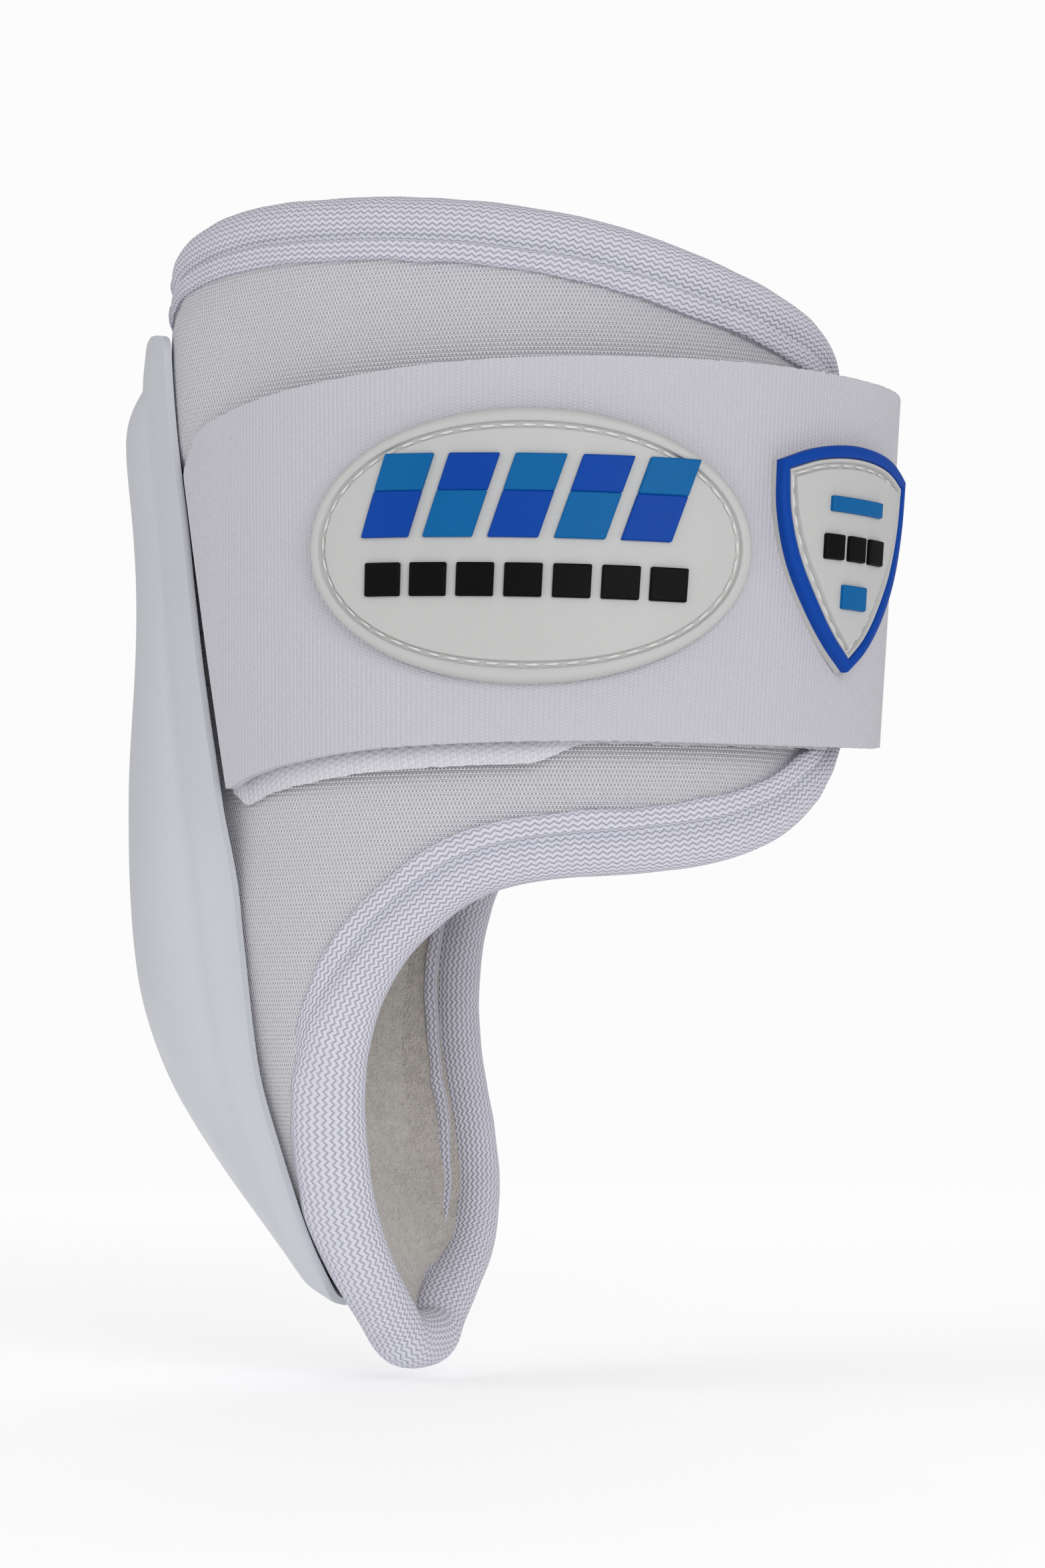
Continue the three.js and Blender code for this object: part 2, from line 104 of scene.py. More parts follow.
TOP_LIFT, TOP_LIFT_FROM = 1.6, 142
CLOTH_SWELL, SWELL_START, SWELL_END = 2.4, (126, 136), (153, 162)
FLANGE_WIDTH, TOP_FLANGE_WIDTH, DOME_RUN, DOME_FADE = 8.5, 6, 14, (20, 60)
MM_PER_DEGREE = 0.84
CREASE = 0.8

# The strap's outer face, leaning in towards its lower edge at the front.
STRAP_BACK_X, STRAP_FRONT_X, STRAP_HALF_WIDTH = 57, 59.6, 46.2
STRAP_SETTLE, STRAP_SETTLE_ANGLES = 2.0, (56, 96)
ANCHOR_SETTLE, ANCHOR_SETTLE_ANGLES = 2.8, (262, 298)
STRAP_FULL_HEIGHT, STRAP_FRONT_LEAN, STRAP_SIDE_LEAN = 130, 0.0012, 0.0004
STRAP_TOP = [(36, 131), (46, 134.8), (50, 136.8), (53, 137.9), (58, 138.9), (65, 139.9),
             (72.5, 140.7), (85, 141.7), (97, 142.6), (110, 143.1), (135, 143.1), (170, 142.7),
             (200, 143), (296, 141)]
STRAP_BOTTOM = [(36, 84), (59.5, 84.7), (65, 86.2), (72, 87.4), (85, 88.8), (97, 89.4),
                (115, 89.7), (150, 89.7), (166, 90.1), (184, 90.9), (225, 94), (250, 96), (296, 97)]
TIP_TOP_ANGLE, TIP_BOTTOM_ANGLE = 45.2, 59.4
TIP_CORNER, TIP_CORNER_FROM = 5, 0.92
BAND_SPLIT_ANGLE, ANCHOR_END_ANGLE = 232, 303
STRAP_RADIUS = 52
WEB_FACES, BACKING_FACES = (-1.3, 0.0), (-2.15, -1.35)
FRONT_BACKING_FACES, HOOK_FACES = (-2.4, -1.35), (-2.75, -2.2)
HOOK_MARGIN, HOOK_END_ANGLE = 3, 106

# The loop cloth under the strap: it peeks out below the strap's free end and stands off there.
LOOP_START_ANGLES, LOOP_END_ANGLE, LOOP_TOP = (57, 46), 172, 138
LOOP_PEEK, LOOP_PEEK_START, LOOP_PEEK_END = 2.7, (56, 62), (112, 122)
LOOP_LIFT, LOOP_FACES = 2.0, (0.05, 0.7)

# Patches on the strap: centre (angle, z), sizes.
OVAL = {"angle": 111.2, "z": 116.7, "tilt": -0.03}
OVAL_LENGTH, OVAL_HEIGHT = 64.4, 38.4
SHIELD = {"angle": 165.3, "z": 116.7, "tilt": 0.0}
SHIELD_TOP = [(-14.2, 12.8), (-8, 15.0), (0, 15.9), (8, 15.0), (14.2, 12.8)]
SHIELD_SIDE = [(14.2, 12.8), (13.9, 6), (11.9, -1.5), (8, -8.3), (4, -13), (0, -16.2)]
PATCH_LIFT, PATCH_TOP, GROOVE_FLOOR = 0.1, 2.3, 1.7
INLAY_FACE = 2.95

JOINTS = {joint["name"]: joint for joint in frame["joints"]}


# ---- surfaces -------------------------------------------------------------------------------


def mix(a, b, t):
    return a + (b - a) * t


def ramp(x, low, high):
    t = min(max((x - low) / (high - low), 0.0), 1.0)
    return t * t * (3 - 2 * t)


def through(pairs):
    """A smooth curve through (at, value) pairs, level beyond its ends."""
    last = len(pairs) - 1

    def slope(i):
        (x0, y0), (x1, y1) = pairs[max(i - 1, 0)], pairs[min(i + 1, last)]
        return (y1 - y0) / (x1 - x0)

    def curve(at):
        if at <= pairs[0][0]:
            return pairs[0][1]
        if at >= pairs[last][0]:
            return pairs[last][1]
        i = next(n for n in range(last) if at <= pairs[n + 1][0])
        width = pairs[i + 1][0] - pairs[i][0]
        t = (at - pairs[i][0]) / width
        leaving = t * (1 - t) ** 2 * width * slope(i)
        arriving = t * t * (t - 1) * width * slope(i + 1)
        return mix(pairs[i][1], pairs[i + 1][1], t * t * (3 - 2 * t)) + leaving + arriving

    return curve


back_x, middle_x, half_width = through(BACK_X), through(MIDDLE_X), through(HALF_WIDTH)
shell_half_angle, shell_rise = through(SHELL_HALF_ANGLE), through(SHELL_RISE)
strap_top, strap_bottom = through(STRAP_TOP), through(STRAP_BOTTOM)


def skin_point(angle, z):
    turn = math.radians(angle)
    middle = middle_x(z)
    reach = middle - back_x(z) if math.cos(turn) > 0 else FRONT_X - middle
    return Vector((middle - reach * math.cos(turn), -half_width(z) * math.sin(turn), z))


def skin_normal(angle, z):
    step = 0.5
    round_leg = skin_point(angle + step, z) - skin_point(angle - step, z)
    up = skin_point(angle, z + step) - skin_point(angle, z - step)
    return round_leg.cross(up).normalized()


def on_liner(angle, z, out):
    return skin_point(angle, z) + skin_normal(angle, z) * out


def strap_reach(angle, z):
    lean = (z - STRAP_FULL_HEIGHT) * STRAP_FRONT_LEAN
    return STRAP_BACK_X if math.cos(math.radians(angle)) > 0 else STRAP_FRONT_X * (1 + lean)


def on_strap(angle, z, out):
    """A point on the strap, whose ends lie closer to the liner than the rest."""
    settle = STRAP_SETTLE * (1 - ramp(angle, *STRAP_SETTLE_ANGLES))
    out -= settle + ANCHOR_SETTLE * ramp(angle, *ANCHOR_SETTLE_ANGLES)
    turn = math.radians(angle)
    side = STRAP_HALF_WIDTH * (1 + (z - STRAP_FULL_HEIGHT) * STRAP_SIDE_LEAN)
    x = -(strap_reach(angle, z) + out) * math.cos(turn)
    return Vector((x, -(side + out) * math.sin(turn), z))


def along_strap(angle, distance):
    """The strap angle that lies `distance` further round from `angle`."""
    steps = 12
    for _ in range(steps):
        turn = math.radians(angle)
        reach = strap_reach(angle, STRAP_FULL_HEIGHT)
        pace = math.hypot(reach * math.sin(turn), STRAP_HALF_WIDTH * math.cos(turn))
        angle += math.degrees(distance / steps / pace)
    return angle


def on_patch(patch, across, up, out):
    cos, sin = math.cos(patch["tilt"]), math.sin(patch["tilt"])
    angle = along_strap(patch["angle"], across * cos - up * sin)
    return on_strap(angle, patch["z"] + across * sin + up * cos, out + PATCH_LIFT)


def girth(angle):
    """Length round the leg from the back, used to lay the knit's pattern."""
    return math.radians(angle) * GIRTH_RADIUS


# ---- mesh helpers ---------------------------------------------------------------------------

SHARP_ANGLE, BEVEL_ANGLE = math.radians(38), math.radians(40)


def finish_piece(bm, name, material, body=None):
    """Turns a bmesh in millimetres into a piece in metres, with its place in its mesh."""
    bmesh.ops.remove_doubles(bm, verts=bm.verts[:], dist=0.001)
    bmesh.ops.recalc_face_normals(bm, faces=bm.faces[:])
    bmesh.ops.scale(bm, vec=(MM, MM, MM), verts=bm.verts[:])
    mesh = bpy.data.meshes.new(name)
    bm.to_mesh(mesh)
    bm.free()
    mesh.shade_smooth()
    mesh.set_sharp_from_angle(angle=SHARP_ANGLE)
    mesh.materials.append(material)
    piece = bpy.data.objects.new(name, mesh)
    bpy.context.scene.collection.objects.link(piece)
    if body:
        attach(piece, body)
    return piece


def unit_grid(columns, rows):
    """A flat grid whose vertices remember their u and v, from 0 to 1."""
    bm = bmesh.new()
    u_layer = bm.verts.layers.float.new("u")
    v_layer = bm.verts.layers.float.new("v")
    bmesh.ops.create_grid(bm, x_segments=columns, y_segments=rows, size=0.5)
    for vert in bm.verts:
        vert[u_layer] = vert.co.x + 0.5
        vert[v_layer] = vert.co.y + 0.5
    return bm, u_layer, v_layer


def write_uv(bm, u_layer, v_layer, texture):
    """Lays the UV map in metres: texture(u, v) gives millimetres along and across the cloth."""
    uv_layer = bm.loops.layers.uv.verify()
    for face in bm.faces:
        for loop in face.loops:
            along, across = texture(loop.vert[u_layer], loop.vert[v_layer])
            loop[uv_layer].uv = (along * MM, across * MM)


def layer_sheet(name, columns, rows, place, texture, material, trim=None, body=None):
    """A closed sheet: place(u, v, face) is a point on its outer (1) or inner (0) face."""
    bm, u_layer, v_layer = unit_grid(columns, rows)
    if trim:
        trim(bm, u_layer, v_layer)
    outer = bm.verts[:]
    made = bmesh.ops.extrude_face_region(bm, geom=bm.faces[:])
    inner = [item for item in made["geom"] if isinstance(item, bmesh.types.BMVert)]
    for verts, face in ((outer, 1), (inner, 0)):
        for vert in verts:
            vert.co = place(vert[u_layer], vert[v_layer], face)
    write_uv(bm, u_layer, v_layer, texture)
    return finish_piece(bm, name, material, body)


def bevel_piece(piece, width, segments=2):
    bevel = piece.modifiers.new("Bevel", "BEVEL")
    bevel.width = width * MM
    bevel.segments = segments
    bevel.limit_method = "ANGLE"
    bevel.angle_limit = BEVEL_ANGLE


# ---- curves ---------------------------------------------------------------------------------


def smooth_path(points, spacing):
    """Points every `spacing` mm on a centripetal Catmull-Rom curve through the given ones."""
    padded = [points[0] * 2 - points[1], *points, points[-1] * 2 - points[-2]]
    dense = []
    fine = 12
    for i in range(1, len(padded) - 2):
        p0, p1, p2, p3 = padded[i - 1:i + 3]
        k0 = math.sqrt((p1 - p0).length)
        k1 = math.sqrt((p2 - p1).length)
        k2 = math.sqrt((p3 - p2).length)
        m1 = (p2 - p1) + ((p1 - p0) / k0 - (p2 - p0) / (k0 + k1)) * k1
        m2 = (p2 - p1) + ((p3 - p2) / k2 - (p3 - p1) / (k1 + k2)) * k1
        for step in range(fine):
            t = step / fine
            start = p1 * (2 * t ** 3 - 3 * t ** 2 + 1) + m1 * (t ** 3 - 2 * t ** 2 + t)
            dense.append(start + p2 * (3 * t ** 2 - 2 * t ** 3) + m2 * (t ** 3 - t ** 2))
    dense.append(points[-1].copy())
    lengths = [0.0]
    for a, b in zip(dense, dense[1:]):
        lengths.append(lengths[-1] + (b - a).length)
    count = max(2, round(lengths[-1] / spacing))
    even, at = [], 0
    for i in range(count + 1):
        target = lengths[-1] * i / count
        while at < len(lengths) - 2 and lengths[at + 1] < target:
            at += 1
        t = (target - lengths[at]) / (lengths[at + 1] - lengths[at])
        even.append(dense[at].lerp(dense[at + 1], t))
    return even, lengths[-1]


# ---- shader helpers -------------------------------------------------------------------------


class Nodes:
    """Places and links nodes in one tree."""

    def __init__(self, tree):
        self.tree = tree
        self.count = 0

    def add(self, kind, **settings):
        node = self.tree.nodes.new(kind)
        self.count += 1
        node.location = (180 * (self.count % 8), -220 * (self.count // 8))
        for key, value in settings.items():
            setattr(node, key, value)
        return node

    def put(self, socket, value):
        if isinstance(value, bpy.types.NodeSocket):
            self.tree.links.new(value, socket)
        else:
            socket.default_value = value

    def math(self, operation, a, b=0.0):
        node = self.add("ShaderNodeMath", operation=operation)
        for socket, value in zip(node.inputs, (a, b)):
            self.put(socket, value)
        return node.outputs[0]

    def mix_color(self, factor, a, b):
        node = self.add("ShaderNodeMix", data_type="RGBA")
        self.put(node.inputs["Factor"], factor)
        self.put(node.inputs[6], a)
        self.put(node.inputs[7], b)
        return node.outputs[2]

    def noise(self, vector, scale, detail=2.0, roughness=0.5):
        node = self.add("ShaderNodeTexNoise")
        self.put(node.inputs["Vector"], vector)
        node.inputs["Scale"].default_value = scale
        node.inputs["Detail"].default_value = detail
        node.inputs["Roughness"].default_value = roughness
        return node.outputs["Fac"]

    def map_range(self, value, low, high, to_low=0.0, to_high=1.0, smooth=True):
        node = self.add("ShaderNodeMapRange")
        node.interpolation_type = "SMOOTHSTEP" if smooth else "LINEAR"
        for name, number in (("Value", value), ("From Min", low), ("From Max", high),
                             ("To Min", to_low), ("To Max", to_high)):
            self.put(node.inputs[name], number)
        return node.outputs[0]

    def group(self, tree, **values):
        node = self.add("ShaderNodeGroup")
        node.node_tree = tree
        for key, value in values.items():
            self.put(node.inputs[key.replace("_", " ")], value)
        return node.outputs


def new_group(name, inputs, outputs):
    """An empty node group with named float or vector sockets, its nodes and its input sockets."""
    tree = bpy.data.node_groups.new(name, "ShaderNodeTree")
    for label, kind, default in inputs:
        socket = tree.interface.new_socket(label, in_out="INPUT", socket_type=kind)
        if default is not None:
            socket.default_value = default
    for label, kind in outputs:
        tree.interface.new_socket(label, in_out="OUTPUT", socket_type=kind)
    nodes = Nodes(tree)
    entry = nodes.add("NodeGroupInput").outputs
    leave = nodes.add("NodeGroupOutput").inputs
    return tree, nodes, entry, leave


FLOAT, VECTOR, COLOR = "NodeSocketFloat", "NodeSocketVector", "NodeSocketColor"


def knit_group():
    """Fine courses of knit with a hole in each stitch, every other course half a stitch on."""
    tree, n, entry, leave = new_group(
        "Knit courses",
        [("Cloth", VECTOR, None), ("Course", FLOAT, 0.0006), ("Stitch", FLOAT, 0.00055)],
        [("Height", FLOAT), ("Hole", FLOAT)])
    split = n.add("ShaderNodeSeparateXYZ")
    n.put(split.inputs[0], entry["Cloth"])
    course = n.math("DIVIDE", split.outputs["Y"], entry["Course"])
    offset = n.math("MULTIPLY", n.math("FLOOR", course), 0.5)
    stitch = n.math("ADD", n.math("DIVIDE", split.outputs["X"], entry["Stitch"]), offset)
    down = n.math("SUBTRACT", n.math("FRACT", course), 0.5)
    side = n.math("SUBTRACT", n.math("FRACT", stitch), 0.5)
    near = n.math("SQRT", n.math("ADD", n.math("MULTIPLY", down, down),
                                 n.math("MULTIPLY", side, side)))
    n.put(leave["Hole"], n.map_range(near, 0.12, 0.3, 1.0, 0.0))
    ridge = n.math("ABSOLUTE", n.math("SINE", n.math("MULTIPLY", course, math.pi)))
    n.put(leave["Height"], n.math("SUBTRACT", ridge, n.map_range(near, 0.1, 0.38, 0.9, 0.0)))
    return tree


def zigzag_group():
    """Rows of a herringbone knit: each row's thread swings from side to side along the tape."""
    tree, n, entry, leave = new_group(
        "Herringbone tape",
        [("Cloth", VECTOR, None), ("Row", FLOAT, 0.0008), ("Swing", FLOAT, 0.0013)],
        [("Height", FLOAT), ("Shadow", FLOAT)])
    split = n.add("ShaderNodeSeparateXYZ")
    n.put(split.inputs[0], entry["Cloth"])
    swing = n.math("PINGPONG", n.math("DIVIDE", split.outputs["X"], entry["Swing"]), 0.5)
    row = n.math("ADD", n.math("DIVIDE", split.outputs["Y"], entry["Row"]),
                 n.math("MULTIPLY", swing, 1.1))
    wave = n.math("ABSOLUTE", n.math("SINE", n.math("MULTIPLY", row, math.pi)))
    n.put(leave["Height"], n.math("POWER", wave, 0.6))
    n.put(leave["Shadow"], n.map_range(wave, 0.0, 0.45, 1.0, 0.0))
    return tree


def rib_group():
    """Close ribs across the webbing, each with fine dots where the weft passes."""
    tree, n, entry, leave = new_group(
        "Ribbed webbing",
        [("Cloth", VECTOR, None), ("Rib", FLOAT, 0.0007), ("Weft", FLOAT, 0.00045)],
        [("Height", FLOAT), ("Dot", FLOAT)])
    split = n.add("ShaderNodeSeparateXYZ")
    n.put(split.inputs[0], entry["Cloth"])
    rib = n.math("DIVIDE", split.outputs["X"], entry["Rib"])
    weft = n.math("ADD", n.math("DIVIDE", split.outputs["Y"], entry["Weft"]),
                  n.math("MULTIPLY", n.math("FLOOR", rib), 0.5))
    ridge = n.math("ABSOLUTE", n.math("SINE", n.math("MULTIPLY", rib, math.pi)))
    side = n.math("SUBTRACT", n.math("FRACT", rib), 0.5)
    down = n.math("MULTIPLY", n.math("SUBTRACT", n.math("FRACT", weft), 0.5), 0.8)
    near = n.math("SQRT", n.math("ADD", n.math("MULTIPLY", down, down),
                                 n.math("MULTIPLY", side, side)))
    n.put(leave["Dot"], n.map_range(near, 0.1, 0.3, 1.0, 0.0))
    n.put(leave["Height"], n.math("SUBTRACT", ridge, n.map_range(near, 0.1, 0.34, 0.5, 0.0)))
    return tree


def mottle_group():
    """Slow and fine unevenness of tone, as on handled cloth and moulded rubber."""
    tree, n, entry, leave = new_group(
        "Uneven tone",
        [("Place", VECTOR, None), ("Base", COLOR, None), ("Amount", FLOAT, 0.05)],
        [("Color", COLOR), ("Tone", FLOAT)])
    slow = n.noise(entry["Place"], 38.0, 3.0)
    fine = n.noise(entry["Place"], 900.0, 2.0, 0.6)
    tone = n.math("ADD", n.math("MULTIPLY", slow, 0.65), n.math("MULTIPLY", fine, 0.35))
    swing = n.math("MULTIPLY", n.math("SUBTRACT", tone, 0.5), entry["Amount"])
    value = n.math("ADD", n.math("MULTIPLY", swing, 2.0), 1.0)
    bright = n.add("ShaderNodeVectorMath", operation="SCALE")
    n.put(bright.inputs[0], entry["Base"])
    n.put(bright.inputs["Scale"], value)
    n.put(leave["Color"], bright.outputs[0])
    n.put(leave["Tone"], tone)
    return tree


GROUPS = {}


def group(name):
    makers = {"knit": knit_group, "zigzag": zigzag_group, "rib": rib_group, "mottle": mottle_group}
    if name not in GROUPS:
        GROUPS[name] = makers[name]()
    return GROUPS[name]


def new_material(name, roughness, sheen=0.0, specular=0.5):
    """A material with its Principled shader, node helper and Object coordinates."""
    material = bpy.data.materials.new(name)
    material.use_nodes = True
    tree = material.node_tree
    tree.nodes.clear()
    nodes = Nodes(tree)
    output = nodes.add("ShaderNodeOutputMaterial")
    shader = nodes.add("ShaderNodeBsdfPrincipled")
    tree.links.new(shader.outputs[0], output.inputs["Surface"])
    shader.inputs["Roughness"].default_value = roughness
    shader.inputs["Sheen Weight"].default_value = sheen
    shader.inputs["Sheen Roughness"].default_value = 0.5
    shader.inputs["Specular IOR Level"].default_value = specular
    place = nodes.add("ShaderNodeTexCoord").outputs
    return material, nodes, shader, place


def bump(nodes, shader, height, distance):
    node = nodes.add("ShaderNodeBump")
    node.inputs["Distance"].default_value = distance
    nodes.put(node.inputs["Height"], height)
    nodes.put(shader.inputs["Normal"], node.outputs[0])


def cloth_material(name, pattern, color, shade, depth, sheen, sizes, shading=0.5, mottle=0.04):
    """A woven or knitted finish: its pattern follows the piece's UV map."""
    material, n, shader, place = new_material(name, 0.9, sheen=sheen, specular=0.25)
    cloth = n.group(group(pattern), Cloth=place["UV"], **sizes)
    tone = n.group(group("mottle"), Place=place["Object"], Base=color, Amount=mottle)
    # Painted shade: the pattern's grooves, holes and weft dots are mixed towards the darker shade
    # colour.
    dark = n.math("MULTIPLY", cloth[1], shading)
    n.put(shader.inputs["Base Color"], n.mix_color(dark, tone["Color"], shade))
    fuzz = n.math("MULTIPLY", n.noise(place["Object"], 5200.0, 1.0), 0.35)
    bump(n, shader, n.math("ADD", cloth[0], fuzz), depth)
    return material


MATERIALS = {}


def material(name):
    if name not in MATERIALS:
        MATERIALS[name] = MATERIAL_MAKERS[name]()
    return MATERIALS[name]


def looks():
    return bpy.context.scene.boot_looks


def knit_finish():
    return cloth_material("Knit facing", "knit", tuple(looks().knit) + (1,), (0.27, 0.265, 0.29, 1),
                          0.0003, 0.15, {"Course": 0.00062, "Stitch": 0.0005}, 0.85)


def binding_finish():
    return cloth_material("Herringbone binding", "zigzag", tuple(looks().binding) + (1,),
                          (0.47, 0.49, 0.58, 1), 0.0003, 0.15, {"Row": 0.0008, "Swing": 0.0012},
                          0.7)


def strap_finish():
    return cloth_material("Ribbed webbing", "rib", tuple(looks().strap) + (1,),
                          (0.4, 0.39, 0.44, 1), 0.00016, 0.2, {"Rib": 0.0007, "Weft": 0.0005},
                          0.4)


def loop_finish():
    return cloth_material("Loop tape", "rib", (0.68, 0.665, 0.71, 1), (0.45, 0.44, 0.48, 1),
                          0.0002, 0.5, {"Rib": 0.0009, "Weft": 0.0009}, 0.4, 0.12)


def neoprene_finish():
    material, n, shader, place = new_material("Neoprene core", 0.8)
    tone = n.group(group("mottle"), Place=place["Object"], Base=(0.055, 0.055, 0.06, 1), Amount=0.2)
    n.put(shader.inputs["Base Color"], tone["Color"])
    bump(n, shader, n.noise(place["Object"], 2500.0, 2.0), 0.0002)
    return material


def fleece_finish():
    material, n, shader, place = new_material("Brushed fleece", 1.0, sheen=0.6, specular=0.1)
    tone = n.group(group("mottle"), Place=place["Object"], Base=(0.55, 0.515, 0.48, 1), Amount=0.2)
    tuft = n.noise(place["Object"], 620.0, 4.0, 0.7)
    shaded = n.mix_color(n.map_range(tuft, 0.35, 0.62, 0.35, 0.0), tone["Color"],
                         (0.33, 0.305, 0.275, 1))
    n.put(shader.inputs["Base Color"], shaded)
    bump(n, shader, n.math("ADD", tuft, n.noise(place["Object"], 2400.0, 2.0)), 0.0006)
    return material


def shell_finish():
    material, n, shader, place = new_material("Moulded shell", 0.42, specular=0.45)
    base = tuple(looks().shell) + (1,)
    tone = n.group(group("mottle"), Place=place["Object"], Base=base, Amount=0.035)
    n.put(shader.inputs["Base Color"], tone["Color"])
    grain = n.noise(place["Object"], 1600.0, 3.0, 0.6)
    scuff = n.noise(place["Object"], 90.0, 4.0, 0.65)
    n.put(shader.inputs["Roughness"], n.map_range(scuff, 0.3, 0.7, 0.36, 0.52))
    bump(n, shader, grain, 0.00005)
    return material


def rubber_finish(name, color, amount=0.05, specular=0.3):
    def make():
        material, n, shader, place = new_material(name, 0.48, specular=specular)
        tone = n.group(group("mottle"), Place=place["Object"], Base=color, Amount=amount)
        n.put(shader.inputs["Base Color"], tone["Color"])
        n.put(shader.inputs["Roughness"], n.map_range(tone["Tone"], 0.3, 0.7, 0.42, 0.56))
        bump(n, shader, n.noise(place["Object"], 2600.0, 2.0, 0.6), 0.00005)
        return material

    return make


def hook_finish():
    material, n, shader, place = new_material("Hook tape", 0.6, specular=0.3)
    tone = n.group(group("mottle"), Place=place["Object"], Base=(0.7, 0.7, 0.73, 1), Amount=0.1)
    n.put(shader.inputs["Base Color"], tone["Color"])
    cells = n.add("ShaderNodeTexVoronoi")
    n.put(cells.inputs["Vector"], place["Object"])
    cells.inputs["Scale"].default_value = 1100.0
    bump(n, shader, n.math("SUBTRACT", 1.0, cells.outputs["Distance"]), 0.0006)
    return material


def thread_finish():
    material, n, shader, place = new_material("Polyester thread", 0.7, sheen=0.3)
    tone = n.group(group("mottle"), Place=place["Object"], Base=(0.72, 0.72, 0.71, 1), Amount=0.12)
    n.put(shader.inputs["Base Color"], tone["Color"])
    bump(n, shader, n.noise(place["Object"], 6000.0, 2.0), 0.0001)
    return material


MATERIAL_MAKERS = {
    "knit": knit_finish,
    "binding": binding_finish,
    "strap": strap_finish,
    "loop_tape": loop_finish,
    "neoprene": neoprene_finish,
    "lining": fleece_finish,
    "shell": shell_finish,
    "foam": rubber_finish("Closed-cell foam", (0.72, 0.68, 0.60, 1), 0.15),
    "hook_tape": hook_finish,
    "thread": thread_finish,
    "patch_white": rubber_finish("White rubber", (0.5, 0.5, 0.495, 1)),
    "patch_blue": rubber_finish("Royal blue rubber", (0.001, 0.05, 0.32, 1), 0.1, 0.12),
    "patch_sky": rubber_finish("Teal-blue rubber", (0.001, 0.11, 0.32, 1), 0.1, 0.12),
    "patch_black": rubber_finish("Black rubber", (0.002, 0.002, 0.002, 1), 0.2, 0.08),
}


def floor_finish():
    """A pale floor that shines a little and fades into the white room further out."""
    material, n, shader, place = new_material("Pale floor", 0.85, specular=0.1)
    tone = n.group(group("mottle"), Place=place["Object"], Base=(0.93, 0.93, 0.93, 1), Amount=0.01)
    n.put(shader.inputs["Base Color"], tone["Color"])
    n.put(shader.inputs["Emission Color"], tone["Color"])
    shader.inputs["Emission Strength"].default_value = 0.3
    distance = n.add("ShaderNodeVectorMath", operation="LENGTH")
    n.put(distance.inputs[0], place["Object"])
    n.put(shader.inputs["Alpha"], n.map_range(distance.outputs["Value"], 0.3, 1.1, 1.0, 0.0))
    return material


# ---- settings -------------------------------------------------------------------------------


def colour_setting(name, words, default):
    return bpy.props.FloatVectorProperty(
        name=name, description=words, default=default, subtype="COLOR", min=0.0, max=1.0)


class BootLooks(bpy.types.PropertyGroup):
    """Colours of the boot's cloths and shell."""

    knit: colour_setting("Knit", "Colour of the liner's knit facing", (0.80, 0.785, 0.835))
    binding: colour_setting("Binding", "Colour of the rolled binding tape", (0.66, 0.655, 0.745))
    strap: colour_setting("Strap", "Colour of the ribbed webbing", (0.575, 0.565, 0.615))
    shell: colour_setting("Shell", "Colour of the moulded shell", (0.535, 0.55, 0.59))


class BootSizes(bpy.types.PropertyGroup):
    """Sizes that a maker would change."""

    roll_radius: bpy.props.FloatProperty(
        name="Roll radius", description="Radius of the rolled binding", default=0.0037,
        unit="LENGTH", min=0.002, max=0.006)
    strip_width: bpy.props.FloatProperty(
        name="Strip width", description="Width of the binding's flat strip beside the roll",
        default=0.0031, unit="LENGTH", min=0.001, max=0.006)
    stitch_length: bpy.props.FloatProperty(
        name="Stitch length", description="Length of one stitch round the patches",
        default=0.0021, unit="LENGTH", min=0.001, max=0.005)
    cell: bpy.props.FloatProperty(
        name="Cell", description="Size of the faces that the liner is made of", default=0.0016,
        unit="LENGTH", min=0.001, max=0.006)


def sizes():
    return bpy.context.scene.boot_sizes


# ---- liner ----------------------------------------------------------------------------------

ANGLE_TO_MM = 0.8
FABRIC_SETBACK = 3.0
PATTERN_TOP = 170.0
SWELL_PRESSURE, SWELL_FRAMES, SWELL_LIMIT = 4.0, 20, 0.6


class Pattern:
    """One half of the liner's cloth, cut to the binding's path less the setback."""

    def __init__(self, path, high, side):
        self.low, self.high, self.side = PATTERN_SEAM, high, side
        flat = [Vector((angle * ANGLE_TO_MM, z, 0)) for angle, z in path]
        self.edge, _length = smooth_path(flat, 0.35)
        self.tree = kdtree.KDTree(len(self.edge))
        for i, point in enumerate(self.edge):
            self.tree.insert(point, i)
        self.tree.balance()

    def angle(self, u):
        return mix(self.low, self.high, u)

    @staticmethod
    def height(v):
        return mix(PATTERN_BOTTOM, PATTERN_TOP, v)

    def flat(self, u, v):
        return Vector((self.angle(u) * ANGLE_TO_MM, self.height(v), 0))

    def depth(self, u, v):
        """How far inside the binding's path a point of the cloth lies, and the path beside it."""
        place = self.flat(u, v)
        nearest, i, gap = self.tree.find(place)
        before, after = self.edge[max(i - 1, 0)], self.edge[min(i + 1, len(self.edge) - 1)]
        turn = (after - before).cross(place - nearest).z * self.side
        return (gap if turn > 0 else -gap), nearest

    def trim(self, bm, u_layer, v_layer):
        """Deletes the cloth outside the outline and eases its ragged edge onto it."""
        inside = {v for v in bm.verts
                  if self.depth(v[u_layer], v[v_layer])[0] > FABRIC_SETBACK - 0.7}
        outside = [f for f in bm.faces if not inside.issuperset(f.verts)]
        bmesh.ops.delete(bm, geom=outside, context="FACES")
        for vert in bm.verts:
            u, v = vert[u_layer], vert[v_layer]
            gap, nearest = self.depth(u, v)
            if vert.is_boundary and gap < 7 and u > 1e-4 and v > 1e-4:
                eased = self.flat(u, v).lerp(nearest, (gap - FABRIC_SETBACK) / gap)
                vert[u_layer] = (eased.x / ANGLE_TO_MM - self.low) / (self.high - self.low)
                vert[v_layer] = (eased.y - PATTERN_BOTTOM) / (PATTERN_TOP - PATTERN_BOTTOM)


